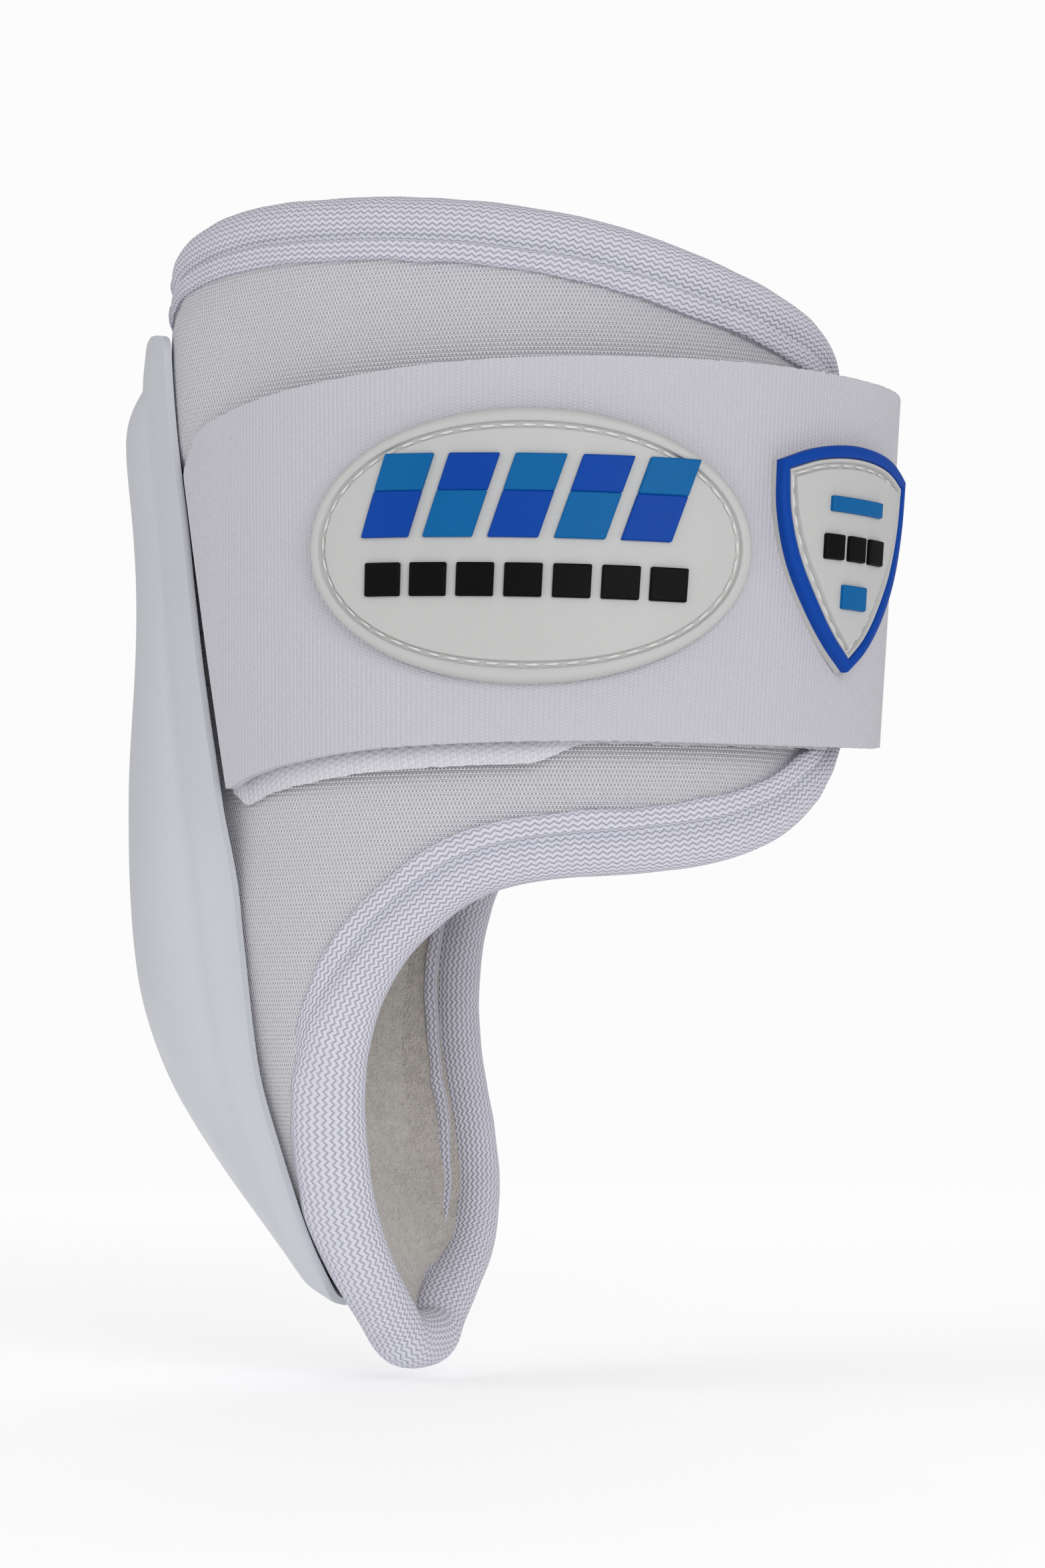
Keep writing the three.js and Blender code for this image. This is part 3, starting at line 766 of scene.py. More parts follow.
def liner_wave(point):
    """Soft unevenness of the padded wall."""
    place = Vector((point.x * 0.035, point.y * 0.035, point.z * 0.028))
    return noise.noise(place + Vector((3.1, 7.7, 1.9))) * 0.5


def beside_shell(angle, z):
    """How far the padded cloth presses outwards beside the shell's upper part."""
    edge = shell_half_angle(min(z, 148))
    swell = ramp(abs(angle), edge - 8, edge - 1) * (1 - ramp(abs(angle), edge + 3, edge + 26))
    return CLOTH_SWELL * swell * ramp(z, *SWELL_START) * (1 - ramp(z, *SWELL_END))


def liner_layer(pattern, name, faces, finish, columns, rows):
    def place(u, v, face):
        angle, z = pattern.angle(u), pattern.height(v)
        skin = skin_point(angle, z)
        inside, _nearest = pattern.depth(u, v)
        tuck = 0.35 * (1 - ramp(inside, 4, 12)) if faces[1] == 0 else 0
        thin = mix(0.35, 1, ramp(z, 4, 16))
        out = faces[face] * thin + (liner_wave(skin) - tuck) * ramp(z, 8, 20)
        if faces[1] == 0:
            out += beside_shell(angle, z)
        return skin + skin_normal(angle, z) * out

    def texture(u, v):
        return girth(pattern.angle(u)), pattern.height(v)

    return layer_sheet(name, columns, rows, place, texture, finish, trim=pattern.trim)


def fold_ends(joint_name, toward, before, after):
    """Start and end points, in metres, of a bend that crosses a joint's axis."""
    joint = JOINTS[joint_name]
    axis = Vector(joint["axis"]).normalized()
    pivot = Vector(joint["pos_m"])
    across = Vector(toward)
    across = (across - axis * across.dot(axis)).normalized()
    return pivot - across * before, pivot + across * after


def bend_with_flap(piece):
    start, end = fold_ends("flap_open", (1, 0, 0), 0.003, 0.024)
    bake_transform(piece)
    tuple(start)
    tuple(end)


def let_cloth_swell(piece, pattern):
    """Lets the padding push the outer cloth out between its seams, with a cloth simulation."""
    scene, mesh = bpy.context.scene, piece.data
    held = piece.vertex_groups.new(name="Held")
    for i, (u, v) in enumerate(zip(mesh.attributes["u"].data, mesh.attributes["v"].data)):
        inside, _nearest = pattern.depth(u.value, v.value)
        past_shell = abs(pattern.angle(u.value)) - shell_half_angle(pattern.height(v.value))
        held.add([i], 1 - ramp(inside, 4, 13) * ramp(past_shell, 1, 9), "REPLACE")
    cloth = piece.modifiers.new("Cloth", "CLOTH")
    cloth.settings.quality = 4
    cloth.settings.vertex_group_mass = held.name
    cloth.settings.use_pressure = True
    cloth.settings.uniform_pressure_force = SWELL_PRESSURE
    cloth.settings.effector_weights.gravity = 0
    cloth.point_cache.frame_end = SWELL_FRAMES
    for frame_number in range(1, SWELL_FRAMES + 1):
        scene.frame_set(frame_number)
    relaxed = piece.evaluated_get(bpy.context.evaluated_depsgraph_get()).data
    moves = [after.co - before.co for before, after in zip(mesh.vertices, relaxed.vertices)]
    piece.modifiers.remove(cloth)
    scene.frame_set(1)
    for vert, move in zip(mesh.vertices, moves):
        vert.co += move * min(1, SWELL_LIMIT * MM / max(move.length, 1e-9))
    piece.vertex_groups.remove(held)


class BOOT_OT_liner(bpy.types.Operator):
    """Cut the liner's cloths and lay them round the leg, meeting at the flap's fold"""

    bl_idname = "boot.liner"
    bl_label = "Liner"

    def execute(self, context):
        near = Pattern([(84, 2), (84, 8), *NEAR_PATH], 214, 1)
        far = Pattern([(-84, 2), (-85, 8), *FAR_PATH], -90, -1)
        cell = sizes().cell / MM
        rows = round((PATTERN_TOP - PATTERN_BOTTOM) / cell)
        finishes = {"cover": "knit", "core": "neoprene", "lining": "lining"}
        for layer, faces in LINER_LAYERS.items():
            finish = material(finishes[layer])
            columns = round((near.high - near.low) * ANGLE_TO_MM / cell)
            piece = liner_layer(near, f"near_{layer}", faces, finish, columns, rows)
            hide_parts(f"flap_{layer}")
            columns = round((near.low - far.high) * ANGLE_TO_MM / cell)
            wrap = liner_layer(far, f"far_{layer}", faces, finish, columns, rows)
            if layer == "cover":
                let_cloth_swell(piece, near)
                let_cloth_swell(wrap, far)
            bend_with_flap(piece)
            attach(wrap, "boot")
            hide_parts(f"liner_{layer}")
        self.back_pad()
        return {"FINISHED"}

    def back_pad(self):
        """A crowned pad with its edge turned under, sewn inside the cup."""

        def place(u, v, face):
            angle, z = mix(-PAD_HALF_ANGLE, PAD_HALF_ANGLE, u), mix(PAD_LOW, PAD_HIGH, v)
            corner = (abs(u - 0.5) * 2) ** 6 + (abs(v - 0.5) * 2) ** 10
            crown = 1 - min(corner, 1.0)
            out = mix(PAD_EDGE, PAD_CROWN, crown) if face == 0 else PAD_BACK
            return on_liner(angle * (1 - 0.02 * (abs(v - 0.5) * 2) ** 12), z, out)

        def texture(u, v):
            return girth(mix(-PAD_HALF_ANGLE, PAD_HALF_ANGLE, u)), mix(PAD_LOW, PAD_HIGH, v)

        pad = layer_sheet("back_pad_cover", 64, 72, place, texture, material("lining"),
                          body="boot")
        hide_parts("back_pad")


# ---- binding --------------------------------------------------------------------------------


def strip_section(radius, strip):
    """Roll with a flat strip on both faces: (towards the edge, outwards) from the roll's centre."""
    wall, tape = 3.1, 0.75
    outer = -(radius * 0.78 + strip)
    points = [(outer, wall - 0.4), (outer, wall + tape * 0.55), (outer + 0.3, wall + tape),
              (outer + strip * 0.5, wall + tape + 0.12), (outer + strip - 0.35, wall + tape),
              (outer + strip, wall + 0.1)]
    points += [(radius * math.cos(turn), radius * 1.02 * math.sin(turn)) for turn in ROLL_TURNS]
    fold, inner = -radius * 0.72, -(radius * 0.72 + INNER_STRIP)
    points += [(fold, -wall - 0.1), (fold - 0.25, -wall - tape - 0.1),
               ((fold + inner) / 2, -wall - tape - 0.25), (inner + 0.25, -wall - tape),
               (inner, -wall - tape * 0.4), (inner, -wall + 0.4)]
    return points


INNER_STRIP = 2.0
ROLL_TURNS = [math.radians(131 - 262 * i / 22) for i in range(23)]
STRIP_TURNS = [math.radians(a) for a in (172, 165, 158, 151, 144, 137)]
BAND_TURNS = STRIP_TURNS + ROLL_TURNS + [-turn for turn in reversed(STRIP_TURNS)]


def band_section(middle, half_length, half_height):
    """One plump band with no groove."""
    return [(middle + half_length * math.cos(t), half_height * math.sin(t)) for t in BAND_TURNS]


def binding_section(z, near):
    """The section at a height: the strip sinks into the roll low down on the near side."""
    tip = 1 - ramp(z, 5, 26)
    sunk = 1 - ramp(z, 36, 64) if near else 1 - ramp(z, 6, 16)
    radius, strip = sizes().roll_radius / MM, sizes().strip_width / MM
    plain = strip_section(radius, strip)
    band = band_section(mix(-2.3, 0, tip), mix(5.9, 4.3, tip), mix(3.95, 4.3, tip))
    return [(mix(a, c, sunk), mix(b, d, sunk)) for (a, b), (c, d) in zip(plain, band)]


class EdgePath:
    """The binding's whole path: down the far side, round the cup's tip and back along the near."""

    def __init__(self):
        laid = [(on_liner(a, z, WALL_MIDDLE), skin_normal(a, z)) for a, z in FAR_PATH[::-1]]
        for i, point in enumerate(TIP_PATH):
            low = 1 - abs(i - 2) / 3
            side = -1 if i < 2 else 1
            sideways = Vector((-0.25, 0 if i == 2 else -side * 0.8, -0.6))
            laid.append((Vector(point), sideways.lerp(Vector((-0.3, 0, -1)), low).normalized()))
        laid += [(on_liner(a, z, WALL_MIDDLE), skin_normal(a, z)) for a, z in NEAR_PATH]
        self.line, self.length = smooth_path([point for point, _normal in laid], 1.0)
        self.tip = min(range(len(self.line)), key=lambda i: self.line[i].z)
        self.facing = [self.blend_normals(point, laid) for point in self.line]

    @staticmethod
    def blend_normals(point, laid):
        total = Vector()
        for centre, normal in laid:
            total += normal / ((point - centre).length_squared + 4) ** 2
        return total.normalized()

    def axes(self, i):
        """At step i: out of the cloth, and away from the cloth's middle."""
        last = len(self.line) - 1
        along = (self.line[min(i + 1, last)] - self.line[max(i - 1, 0)]).normalized()
        out = (self.facing[i] - along * self.facing[i].dot(along)).normalized()
        return out, along.cross(out)


def binding(name, path, first, last, finish):
    """Sweeps the binding's section along the path from step `first` to step `last`."""
    around = len(ROLL_TURNS) + 12
    count = last - first
    bm, u_layer, v_layer = unit_grid(count, around)
    reach = [0.0]
    section = strip_section(sizes().roll_radius / MM, sizes().strip_width / MM)
    for a, b in zip(section, section[1:] + section[:1]):
        reach.append(reach[-1] + math.dist(a, b))
    sections = {}

    def place(u, v):
        i, j = first + round(u * count), round(v * around)
        if i not in sections:
            near = i > path.tip
            sections[i] = binding_section(path.line[i].z, near)
        out, edge = path.axes(i)
        across, rise = sections[i][j % around]
        turn = 2 * math.pi * j / around
        soft = Vector((i * 0.21, 1.4 * math.cos(turn), 1.4 * math.sin(turn)))
        pucker = 1 + 0.04 * noise.noise(soft)
        if j % around >= len(ROLL_TURNS) + 6:
            across += 0.45 * noise.noise(Vector((i * 0.16, 7.3, 0)))
        return path.line[i] + edge * across * pucker + out * rise * pucker

    for vert in bm.verts:
        vert.co = place(vert[u_layer], vert[v_layer])
    start = path.length * first / (len(path.line) - 1)
    length = path.length * count / (len(path.line) - 1)
    write_uv(bm, u_layer, v_layer,
             lambda u, v: (start + u * length, reach[round(v * around)]))
    bmesh.ops.remove_doubles(bm, verts=bm.verts[:], dist=0.0005)
    for end in (0.0, 1.0):
        ring = [vert for vert in bm.verts if abs(vert[u_layer] - end) < 1e-4]
        bm.faces.new(sorted(ring, key=lambda vert: vert[v_layer]))
    return finish_piece(bm, name, finish)


class BOOT_OT_binding(bpy.types.Operator):
    """Sweep the rolled binding round the cup's opening, the arch, the tongue and the rim"""

    bl_idname = "boot.binding"
    bl_label = "Binding"

    def execute(self, context):
        finish = material("binding")
        path = EdgePath()
        near = binding("near_binding", path, path.tip, len(path.line) - 1, finish)
        far = binding("far_binding", path, 0, path.tip, finish)
        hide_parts("flap_binding")
        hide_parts("boot_binding")
        bend_with_flap(near)
        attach(far, "boot")
        return {"FINISHED"}


# ---- shell ----------------------------------------------------------------------------------


def shell_angle(column, z):
    """Columns past the crease cross the flange, the others cross the dome."""
    half = shell_half_angle(z)
    flange = min(0.6, FLANGE_WIDTH / (half * MM_PER_DEGREE))
    out = abs(column)
    share = 1 - flange * (1 - out) / (1 - CREASE) if out > CREASE else (1 - flange) * out / CREASE
    return math.copysign(share * half, column)


def dome_at(angle, z):
    """How far the dome has risen, from 0 on the flange to 1 on its back."""
    from_side = (shell_half_angle(z) - abs(angle)) * MM_PER_DEGREE
    from_top = FLANGE_WIDTH + (SHELL_TOP - z - TOP_FLANGE_WIDTH) * 2
    inside = soft_min(from_side, from_top, z - SHELL_BOTTOM) - FLANGE_WIDTH
    left = 1 - min(max(inside / DOME_RUN, 0), 1)
    return (1 - left * left) * mix(0.12, 1, ramp(z, *DOME_FADE))


def soft_min(*values):
    """The least of some lengths, with the corner between them rounded off."""
    rounding = 2.5
    low = min(values)
    return low - rounding * math.log(sum(math.exp((low - v) / rounding) for v in values))


class BOOT_OT_shell(bpy.types.Operator):
    """Form the moulded strike shell: flange, crease and dome"""

    bl_idname = "boot.shell"
    bl_label = "Strike shell"

    def execute(self, context):
        def place(u, v, face):
            column, z = u * 2 - 1, self.height(v)
            angle = shell_angle(column, z)
            dome = dome_at(angle, z)
            edge = max(ramp(abs(column), CREASE, 1), 1 - ramp(z, SHELL_BOTTOM, SHELL_BOTTOM + 5),
                       ramp(z, SHELL_TOP - 5, SHELL_TOP))
            high = ramp(z, 68, 84)
            lip = mix(LIP_LOW, LIP_HIGH, high)
            flange = mix(mix(FLANGE_LOW, FLANGE_HIGH, high), lip, edge)
            back = mix(SHELL_BACK, lip - LIP_THICKNESS, edge)
            out = mix(flange, DOME_FACE, dome) if face else mix(back, DOME_HOLLOW, dome)
            out += shell_rise(z) * (1 - ramp(abs(angle), 12, shell_half_angle(z)))
            z += TOP_LIFT * ramp(abs(column), 0.2, 1) * ramp(z, TOP_LIFT_FROM, SHELL_TOP)
            return on_liner(angle, z, out)

        def texture(u, v):
            return girth(u * 120 - 60), self.height(v)

        shell = layer_sheet("shell_moulding", 80, 130, place, texture, material("shell"),
                            body="boot")
        bevel_piece(shell, 0.25, 2)
        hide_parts("strike_shell")
        pad = frame["nodes"]["impact_pad"]
        pad.data.materials.clear()
        pad.data.materials.append(material("foam"))
        return {"FINISHED"}

    @staticmethod
    def height(v):
        """Rows lie closer together near the shell's rounded ends."""
        eased = 0.5 - 0.5 * math.cos(math.pi * v)
        return mix(SHELL_BOTTOM, SHELL_TOP, mix(v, eased, 0.75))


# ---- strap ----------------------------------------------------------------------------------


def strap_start(v):
    """Where the free end's edge lies: it slants, and its upper corner is rounded."""
    return mix(TIP_BOTTOM_ANGLE, TIP_TOP_ANGLE, v) + TIP_CORNER * ramp(v, TIP_CORNER_FROM, 1.0) ** 2


def strap_sheet(name, start, end, faces, margin, columns, rows, finish):
    """A length of the strap between two angles; start may be a function of the height."""

    def place(u, v, face):
        first = start(v) if callable(start) else start
        angle = mix(first, end, u)
        z = mix(strap_bottom(angle) + margin, strap_top(angle) - margin, v)
        fray = noise.noise(Vector((angle * 0.9, 0, round(v)))) * 0.18 if v in (0.0, 1.0) else 0
        wave = noise.noise(Vector((angle * 0.05, z * 0.03, 5.0))) * 0.35
        wave *= ramp(angle, 45, 80)
        return on_strap(angle, z + fray, faces[face] + wave)

    def texture(u, v):
        first = start(v) if callable(start) else start
        angle = mix(first, end, u)
        return math.radians(angle) * STRAP_RADIUS, mix(strap_bottom(angle), strap_top(angle), v)

    return layer_sheet(name, columns, rows, place, texture, finish)


class BOOT_OT_strap(bpy.types.Operator):
    """Make the wide strap in two lengths that meet behind the front of the leg"""

    bl_idname = "boot.strap"
    bl_label = "Strap"

    def execute(self, context):
        split, anchor = BAND_SPLIT_ANGLE, ANCHOR_END_ANGLE
        web = strap_sheet("strap_end_band", strap_start, split, WEB_FACES, 0, 200, 60,
                          material("strap"))
        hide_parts("strap_end_web")
        backing = strap_sheet("strap_end_lining", lambda v: strap_start(v) + 0.6, split,
                              BACKING_FACES, 0.5, 120, 30, material("loop_tape"))
        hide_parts("strap_end_backing")
        start, end = fold_ends("strap_peel", (0, -1, 0), 0.008, 0.012)
        for piece, slot in ((web, "strap"), (backing, "loop_tape")):
            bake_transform(piece)
            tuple(start)
            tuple(end)
        front = strap_sheet("strap_front_band", split, anchor, WEB_FACES, 0, 90, 60,
                            material("strap"))
        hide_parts("strap_front_web", "strap_anchor")
        lining = strap_sheet("strap_front_lining", split, anchor, FRONT_BACKING_FACES, 0.5,
                             60, 30, material("loop_tape"))
        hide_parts("strap_front_backing")
        start, end = fold_ends("strap_swing", (1, 0, 0), 0.004, 0.012)
        for piece, slot in ((front, "strap"), (lining, "loop_tape")):
            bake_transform(piece)
            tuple(start)
            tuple(end)
        self.tapes()
        return {"FINISHED"}

    def tapes(self):
        hook = strap_sheet("hook_tape_strip", lambda v: strap_start(v) + HOOK_MARGIN,
                           HOOK_END_ANGLE, HOOK_FACES, HOOK_MARGIN, 70, 24,
                           material("hook_tape"))
        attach(hook, "strap_end")
        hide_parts("hook_tape")

        def place(u, v, face):
            angle = mix(mix(*LOOP_START_ANGLES, v), LOOP_END_ANGLE, u)
            peek = LOOP_PEEK * ramp(angle, *LOOP_PEEK_START)
            peek *= 1 - ramp(angle, *LOOP_PEEK_END)
            low = strap_bottom(angle) - peek
            z = mix(low, LOOP_TOP, v)
            lifted = LOOP_LIFT * (1 - ramp(z - low, 1, 9)) * ramp(angle, 56, 90)
            ragged = 0.3 * noise.noise(Vector((angle * 1.1, 0, 2.0))) if v == 0 else 0
            return on_liner(angle, z + ragged, LOOP_FACES[face] + lifted)

        def texture(u, v):
            return girth(mix(58, 172, u)), mix(84, 139, v)

        loop = layer_sheet("loop_panel_cloth", 110, 44, place, texture, material("loop_tape"))
        bend_with_flap(loop)
        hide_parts("loop_panel")


# ---- patches --------------------------------------------------------------------------------


def oval_radius(turn):
    a, b = OVAL_LENGTH / 2, OVAL_HEIGHT / 2
    return 1 / math.hypot(math.cos(turn) / a, math.sin(turn) / b)


def measured_outline(*curves):
    """Radius by direction for an outline of smooth curves that meet at corners."""
    table = []
    for curve in curves:
        points, _length = smooth_path([Vector((x, y, 0)) for x, y in curve], 0.4)
        table += [(math.atan2(p.y, p.x) % (2 * math.pi), p.length) for p in points]
    table.sort()
    table = [(table[-1][0] - 2 * math.pi, table[-1][1]), *table,
             (table[0][0] + 2 * math.pi, table[0][1])]

    def radius(turn):
        turn %= 2 * math.pi
        i = next(n for n in range(len(table) - 1) if turn <= table[n + 1][0])
        (t0, r0), (t1, r1) = table[i], table[i + 1]
        return mix(r0, r1, (turn - t0) / max(t1 - t0, 1e-9))

    return radius


shield_radius = measured_outline(SHIELD_TOP, SHIELD_SIDE,
                                 [(-x, y) for x, y in reversed(SHIELD_SIDE)])


def laid_dish(name, profile, outline, place, finish, segments=128):
    """Turns a profile of (share of the outline, inset, height) inside an outline on a patch."""
    bm, u_layer, v_layer = unit_grid(segments, len(profile) - 1)
    last = len(profile) - 1

    def flat(u, v):
        share, inset, height = profile[round(v * last)]
        turn = u * 2 * math.pi
        radius = outline(turn) * share - inset
        return radius * math.cos(turn), radius * math.sin(turn), height

    for vert in bm.verts:
        vert.co = place(*flat(vert[u_layer], vert[v_layer]))
    write_uv(bm, u_layer, v_layer, lambda u, v: flat(u, v)[:2])
    return finish_piece(bm, name, finish, "strap_end")


STITCH_GAP, STITCH_THICKNESS, STITCH_STRETCH = 0.7, 0.42, 1.15


def stitches(name, outline, inset, height, place, finish):
    """A ring of short stitches lying in a groove."""
    length = sizes().stitch_length / MM
    ring = [Vector(((outline(t) - inset) * math.cos(t), (outline(t) - inset) * math.sin(t), 0))
            for t in (i * 2 * math.pi / 360 for i in range(361))]
    points, total = smooth_path(ring, 0.25)
    count = round(total / (length + STITCH_GAP))
    bm = bmesh.new()
    for i in range(count):
        start = points[int(len(points) * i / count)]
        last = int(len(points) * (i + length / (length + STITCH_GAP)) / count)
        stop = points[min(last, len(points) - 1)]
        made = bmesh.ops.create_icosphere(bm, subdivisions=1, radius=0.5)
        direction = (stop - start).normalized()
        side = Vector((-direction.y, direction.x, 0))
        middle = (start + stop) / 2
        for vert in made["verts"]:
            c = vert.co
            along = c.x * (stop - start).length * STITCH_STRETCH
            flat = middle + direction * along + side * c.y * STITCH_THICKNESS
            vert.co = place(flat.x, flat.y, height + c.z * STITCH_THICKNESS)
    return finish_piece(bm, name, finish, "strap_end")


def inlay(name, place, corners, finish):
    """A raised block with four corners, given anticlockwise from the lower left."""
    low_left, low_right, top_right, top_left = (Vector(c) for c in corners)

    def lay(u, v, face):
        flat = low_left.lerp(low_right, u).lerp(top_left.lerp(top_right, u), v)
        return place(flat.x, flat.y, INLAY_FACE if face else PATCH_TOP - 0.3)

    def texture(u, v):
        return u * 10, v * 10

    piece = layer_sheet(name, 10, 8, lay, texture, finish, body="strap_end")
    bevel_piece(piece, 0.22, 2)
    return piece


def on_oval(across, up, out):
    return on_patch(OVAL, across, up, out)


def on_shield(across, up, out):
    return on_patch(SHIELD, across, up, out)


class BOOT_OT_patches(bpy.types.Operator):
    """Mould the oval and shield rubber patches, their stitching and their plain raised inlays"""

    bl_idname = "boot.patches"
    bl_label = "Patches"

    def execute(self, context):
        white, blue, sky = (material(s) for s in ("patch_white", "patch_blue", "patch_sky"))
        self.keep("patch_white", "oval_patch", laid_dish(
            "oval_dish", self.oval_profile(), oval_radius, on_oval, white))
        self.keep("thread", "oval_stitching", stitches(
            "oval_stitches", oval_radius, 2.55, GROOVE_FLOOR + 0.1, on_oval, material("thread")))
        self.bars(blue, sky)
        self.word_blocks(material("patch_black"))
        self.shield(white, blue, sky)
        return {"FINISHED"}

    @staticmethod
    def keep(slot, node, piece):
        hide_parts(node)

    @staticmethod
    def oval_profile():
        outer = [(0, 0, 0), (0.25, 0, 0), (0.5, 0, 0), (0.75, 0, 0), (1, 0, 0), (1, 0, 0.6),
                 (1, 0.04, 1.25), (1, 0.25, 1.8), (1, 0.6, 2.25), (1, 0.95, 2.45),
                 (1, 1.3, 2.5), (1, 1.75, 2.48), (1, 1.98, 2.35), (1, 2.08, 2.0), (1, 2.14, 1.75),
                 (1, 2.3, GROOVE_FLOOR), (1, 2.75, GROOVE_FLOOR), (1, 2.92, 1.75),
                 (1, 2.98, 2.05), (1, 3.1, 2.25), (1, 3.35, PATCH_TOP)]
        return outer + [(share, 0, PATCH_TOP) for share in (0.78, 0.68, 0.55, 0.4, 0.25, 0.1, 0)]

    def bars(self, blue, sky):
        count, pitch, width, slant, low, high, split = 5, 9.0, 6.9, 3.4, 0.9, 12.6, 7.4
        for i in range(count):
            left = (i - (count - 1) / 2) * pitch - width / 2 - slant / 2
            lower, upper = (blue, sky) if i % 2 == 0 else (sky, blue)

            def edge(up, side):
                return (left + side * width + slant * (up - low) / (high - low), up, 0)

            node = f"oval_bar_{i + 1}"
            foot = inlay(f"bar_foot_{i + 1}", on_oval,
                         [edge(low, 0), edge(low, 1), edge(split, 1), edge(split, 0)], lower)
            head = inlay(f"bar_head_{i + 1}", on_oval,
                         [edge(split, 0), edge(split, 1), edge(high, 1), edge(high, 0)], upper)
            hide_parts(node)

    def word_blocks(self, black):
        count, pitch, width, low, high = 7, 6.6, 5.2, -7.3, -2.6
        for i in range(count):
            left = (i - (count - 1) / 2) * pitch - width / 2
            corners = [(left, low, 0), (left + width, low, 0),
                       (left + width, high, 0), (left, high, 0)]
            self.keep("patch_black", f"oval_block_{i + 1}",
                      inlay(f"word_block_{i + 1}", on_oval, corners, black))

    def shield(self, white, blue, sky):
        profile = [(0, 0, 0), (0.35, 0, 0), (0.7, 0, 0), (1, 0, 0), (1, 0, 0.9), (1, 0.1, 1.2),
                   (1, 1.8, 1.3), (1, 1.85, 2.1), (1, 2.0, PATCH_TOP), (1, 2.35, PATCH_TOP),
                   (1, 2.5, 2.0), (1, 2.6, GROOVE_FLOOR), (1, 3.2, GROOVE_FLOOR), (1, 3.3, 2.0),
                   (1, 3.45, PATCH_TOP), (0.6, 0, PATCH_TOP), (0.4, 0, PATCH_TOP),
                   (0.2, 0, PATCH_TOP), (0, 0, PATCH_TOP)]
        rim = [(1, 0, 1.1), (1, -0.02, 2.0), (1, 0.12, 2.4), (1, 0.4, 2.6), (1, 1.35, 2.6),
               (1, 1.7, 2.4), (1, 1.8, 2.1), (1, 1.8, 1.1), (1, 0, 1.1)]
        self.keep("patch_white", "shield_patch",
                  laid_dish("shield_dish", profile, shield_radius, on_shield, white, 120))
        self.keep("patch_blue", "shield_rim",
                  laid_dish("shield_edge", rim, shield_radius, on_shield, blue, 120))
        self.keep("thread", "shield_stitching", stitches(
            "shield_stitches", shield_radius, 2.9, GROOVE_FLOOR + 0.1, on_shield,
            material("thread")))
        upper = [(-5.5, 6.2, 0), (5.5, 6.2, 0), (5.5, 8.4, 0), (-5.5, 8.4, 0)]
        lower = [(-2.6, -7.4, 0), (2.6, -7.4, 0), (2.6, -4.0, 0), (-2.6, -4.0, 0)]
        for node, corners in (("shield_bar_upper", upper), ("shield_bar_lower", lower)):
            self.keep("patch_sky", node, inlay(f"{node}_inlay", on_shield, corners, sky))
        for i in range(3):
            left = (i - 1) * 4.6 - 1.8
            corners = [(left, -0.6, 0), (left + 3.6, -0.6, 0),
                       (left + 3.6, 3.0, 0), (left, 3.0, 0)]
            self.keep("patch_black", f"shield_block_{i + 1}", inlay(
                f"shield_word_{i + 1}", on_shield, corners, material("patch_black")))


# ---- stage ----------------------------------------------------------------------------------

CAMERA_AZIMUTH, CAMERA_ELEVATION = 23, -4
CAMERA_DISTANCE, FRAME_HEIGHT = 0.6, 0.2352
CAMERA_AIM_RIGHT, CAMERA_AIM_UP = 0.0024, 0.087
SENSOR_HEIGHT = 24
FLOOR_SIZE, FLOOR_HEIGHT = 6, -0.002
ROOM_LIGHT, ROOM_AS_SEEN = 0.55, 0.97
LAMP_AIM = (0, 0, 0.09)
LAMPS = [("Key", (0.95, -1.1, 0.4), 0.9, 8), ("Fill", (-0.9, -0.8, 0.5), 1.2, 2.5),
         ("Back", (-0.4, 1.2, 0.8), 1.2, 3)]


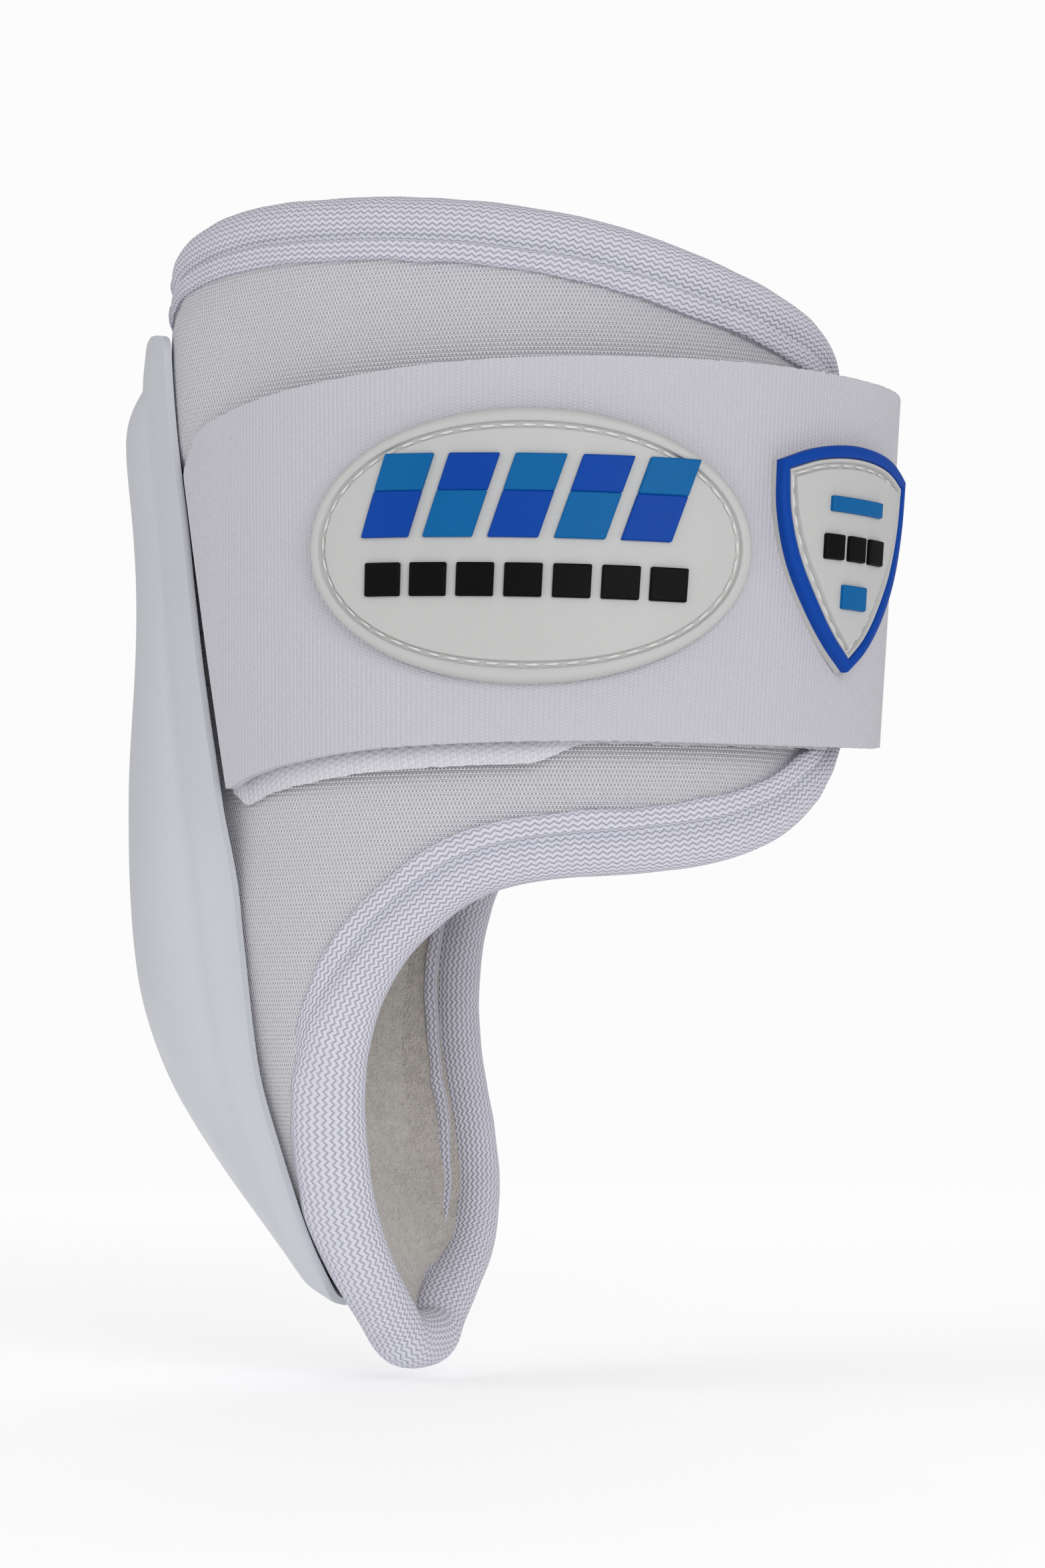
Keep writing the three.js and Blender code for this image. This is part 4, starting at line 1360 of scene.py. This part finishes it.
class BOOT_OT_stage(bpy.types.Operator):
    """Set the pale floor, the soft lights and the camera"""

    bl_idname = "boot.stage"
    bl_label = "Stage"

    def execute(self, context):
        self.camera(context)
        self.floor()
        for lamp in LAMPS:
            self.light(*lamp)
        world = bpy.data.worlds.new("Studio")
        world.use_nodes = True
        background = world.node_tree.nodes["Background"]
        background.inputs["Color"].default_value = (1, 1, 1, 1)
        studio = Nodes(world.node_tree)
        seen = studio.add("ShaderNodeLightPath").outputs["Is Camera Ray"]
        strength = studio.map_range(seen, 0, 1, ROOM_LIGHT, ROOM_AS_SEEN, False)
        studio.put(background.inputs["Strength"], strength)
        context.scene.world = world
        context.scene.view_settings.view_transform = "Standard"
        return {"FINISHED"}

    @staticmethod
    def camera(context):
        azimuth, elevation = math.radians(CAMERA_AZIMUTH), math.radians(CAMERA_ELEVATION)
        right = Vector((math.cos(azimuth), math.sin(azimuth), 0))
        aim = right * CAMERA_AIM_RIGHT + Vector((0, 0, CAMERA_AIM_UP))
        back = Vector((math.sin(azimuth) * math.cos(elevation),
                       -math.cos(azimuth) * math.cos(elevation), math.sin(elevation)))
        data = bpy.data.cameras.new("Camera")
        data.sensor_fit = "VERTICAL"
        data.sensor_height = SENSOR_HEIGHT
        data.lens = SENSOR_HEIGHT * CAMERA_DISTANCE / FRAME_HEIGHT
        data.clip_start = 0.01
        camera = bpy.data.objects.new("Camera", data)
        camera.location = aim + back * CAMERA_DISTANCE
        camera.rotation_euler = back.to_track_quat("Z", "Y").to_euler()
        context.scene.collection.objects.link(camera)
        context.scene.camera = camera

    @staticmethod
    def floor():
        bm = bmesh.new()
        bmesh.ops.create_grid(bm, x_segments=2, y_segments=2, size=FLOOR_SIZE)
        bmesh.ops.translate(bm, vec=(0, 0, FLOOR_HEIGHT), verts=bm.verts[:])
        mesh = bpy.data.meshes.new("Floor")
        bm.to_mesh(mesh)
        bm.free()
        mesh.materials.append(floor_finish())
        floor = bpy.data.objects.new("Floor", mesh)
        bpy.context.scene.collection.objects.link(floor)

    @staticmethod
    def light(name, place, size, power):
        data = bpy.data.lights.new(name, "AREA")
        data.shape = "DISK"
        data.size = size
        data.energy = power
        light = bpy.data.objects.new(name, data)
        light.location = place
        toward = Vector(place) - Vector(LAMP_AIM)
        light.rotation_euler = toward.to_track_quat("Z", "Y").to_euler()
        bpy.context.scene.collection.objects.link(light)


class BOOT_PT_panel(bpy.types.Panel):
    """Lists the boot's settings and steps"""

    bl_idname = "BOOT_PT_panel"
    bl_label = "Fetlock boot"
    bl_space_type = "VIEW_3D"
    bl_region_type = "UI"
    bl_category = "Fetlock boot"

    def draw(self, context):
        for settings in (context.scene.boot_looks, context.scene.boot_sizes):
            for name in settings.__annotations__:
                self.layout.prop(settings, name)
        for operator in OPERATORS:
            self.layout.operator(operator.bl_idname)


OPERATORS = (BOOT_OT_stage, BOOT_OT_liner, BOOT_OT_binding, BOOT_OT_shell, BOOT_OT_strap,
             BOOT_OT_patches)
CLASSES = (BootLooks, BootSizes, *OPERATORS, BOOT_PT_panel)


def register():
    for item in CLASSES:
        bpy.utils.register_class(item)
    bpy.types.Scene.boot_looks = bpy.props.PointerProperty(type=BootLooks)
    bpy.types.Scene.boot_sizes = bpy.props.PointerProperty(type=BootSizes)


def unregister():
    del bpy.types.Scene.boot_sizes
    del bpy.types.Scene.boot_looks
    for item in reversed(CLASSES):
        bpy.utils.unregister_class(item)


def main():
    register()
    bpy.ops.boot.stage()
    bpy.ops.boot.liner()
    bpy.ops.boot.binding()
    bpy.ops.boot.shell()
    bpy.ops.boot.strap()
    bpy.ops.boot.patches()


if __name__ == "__main__":
    main()
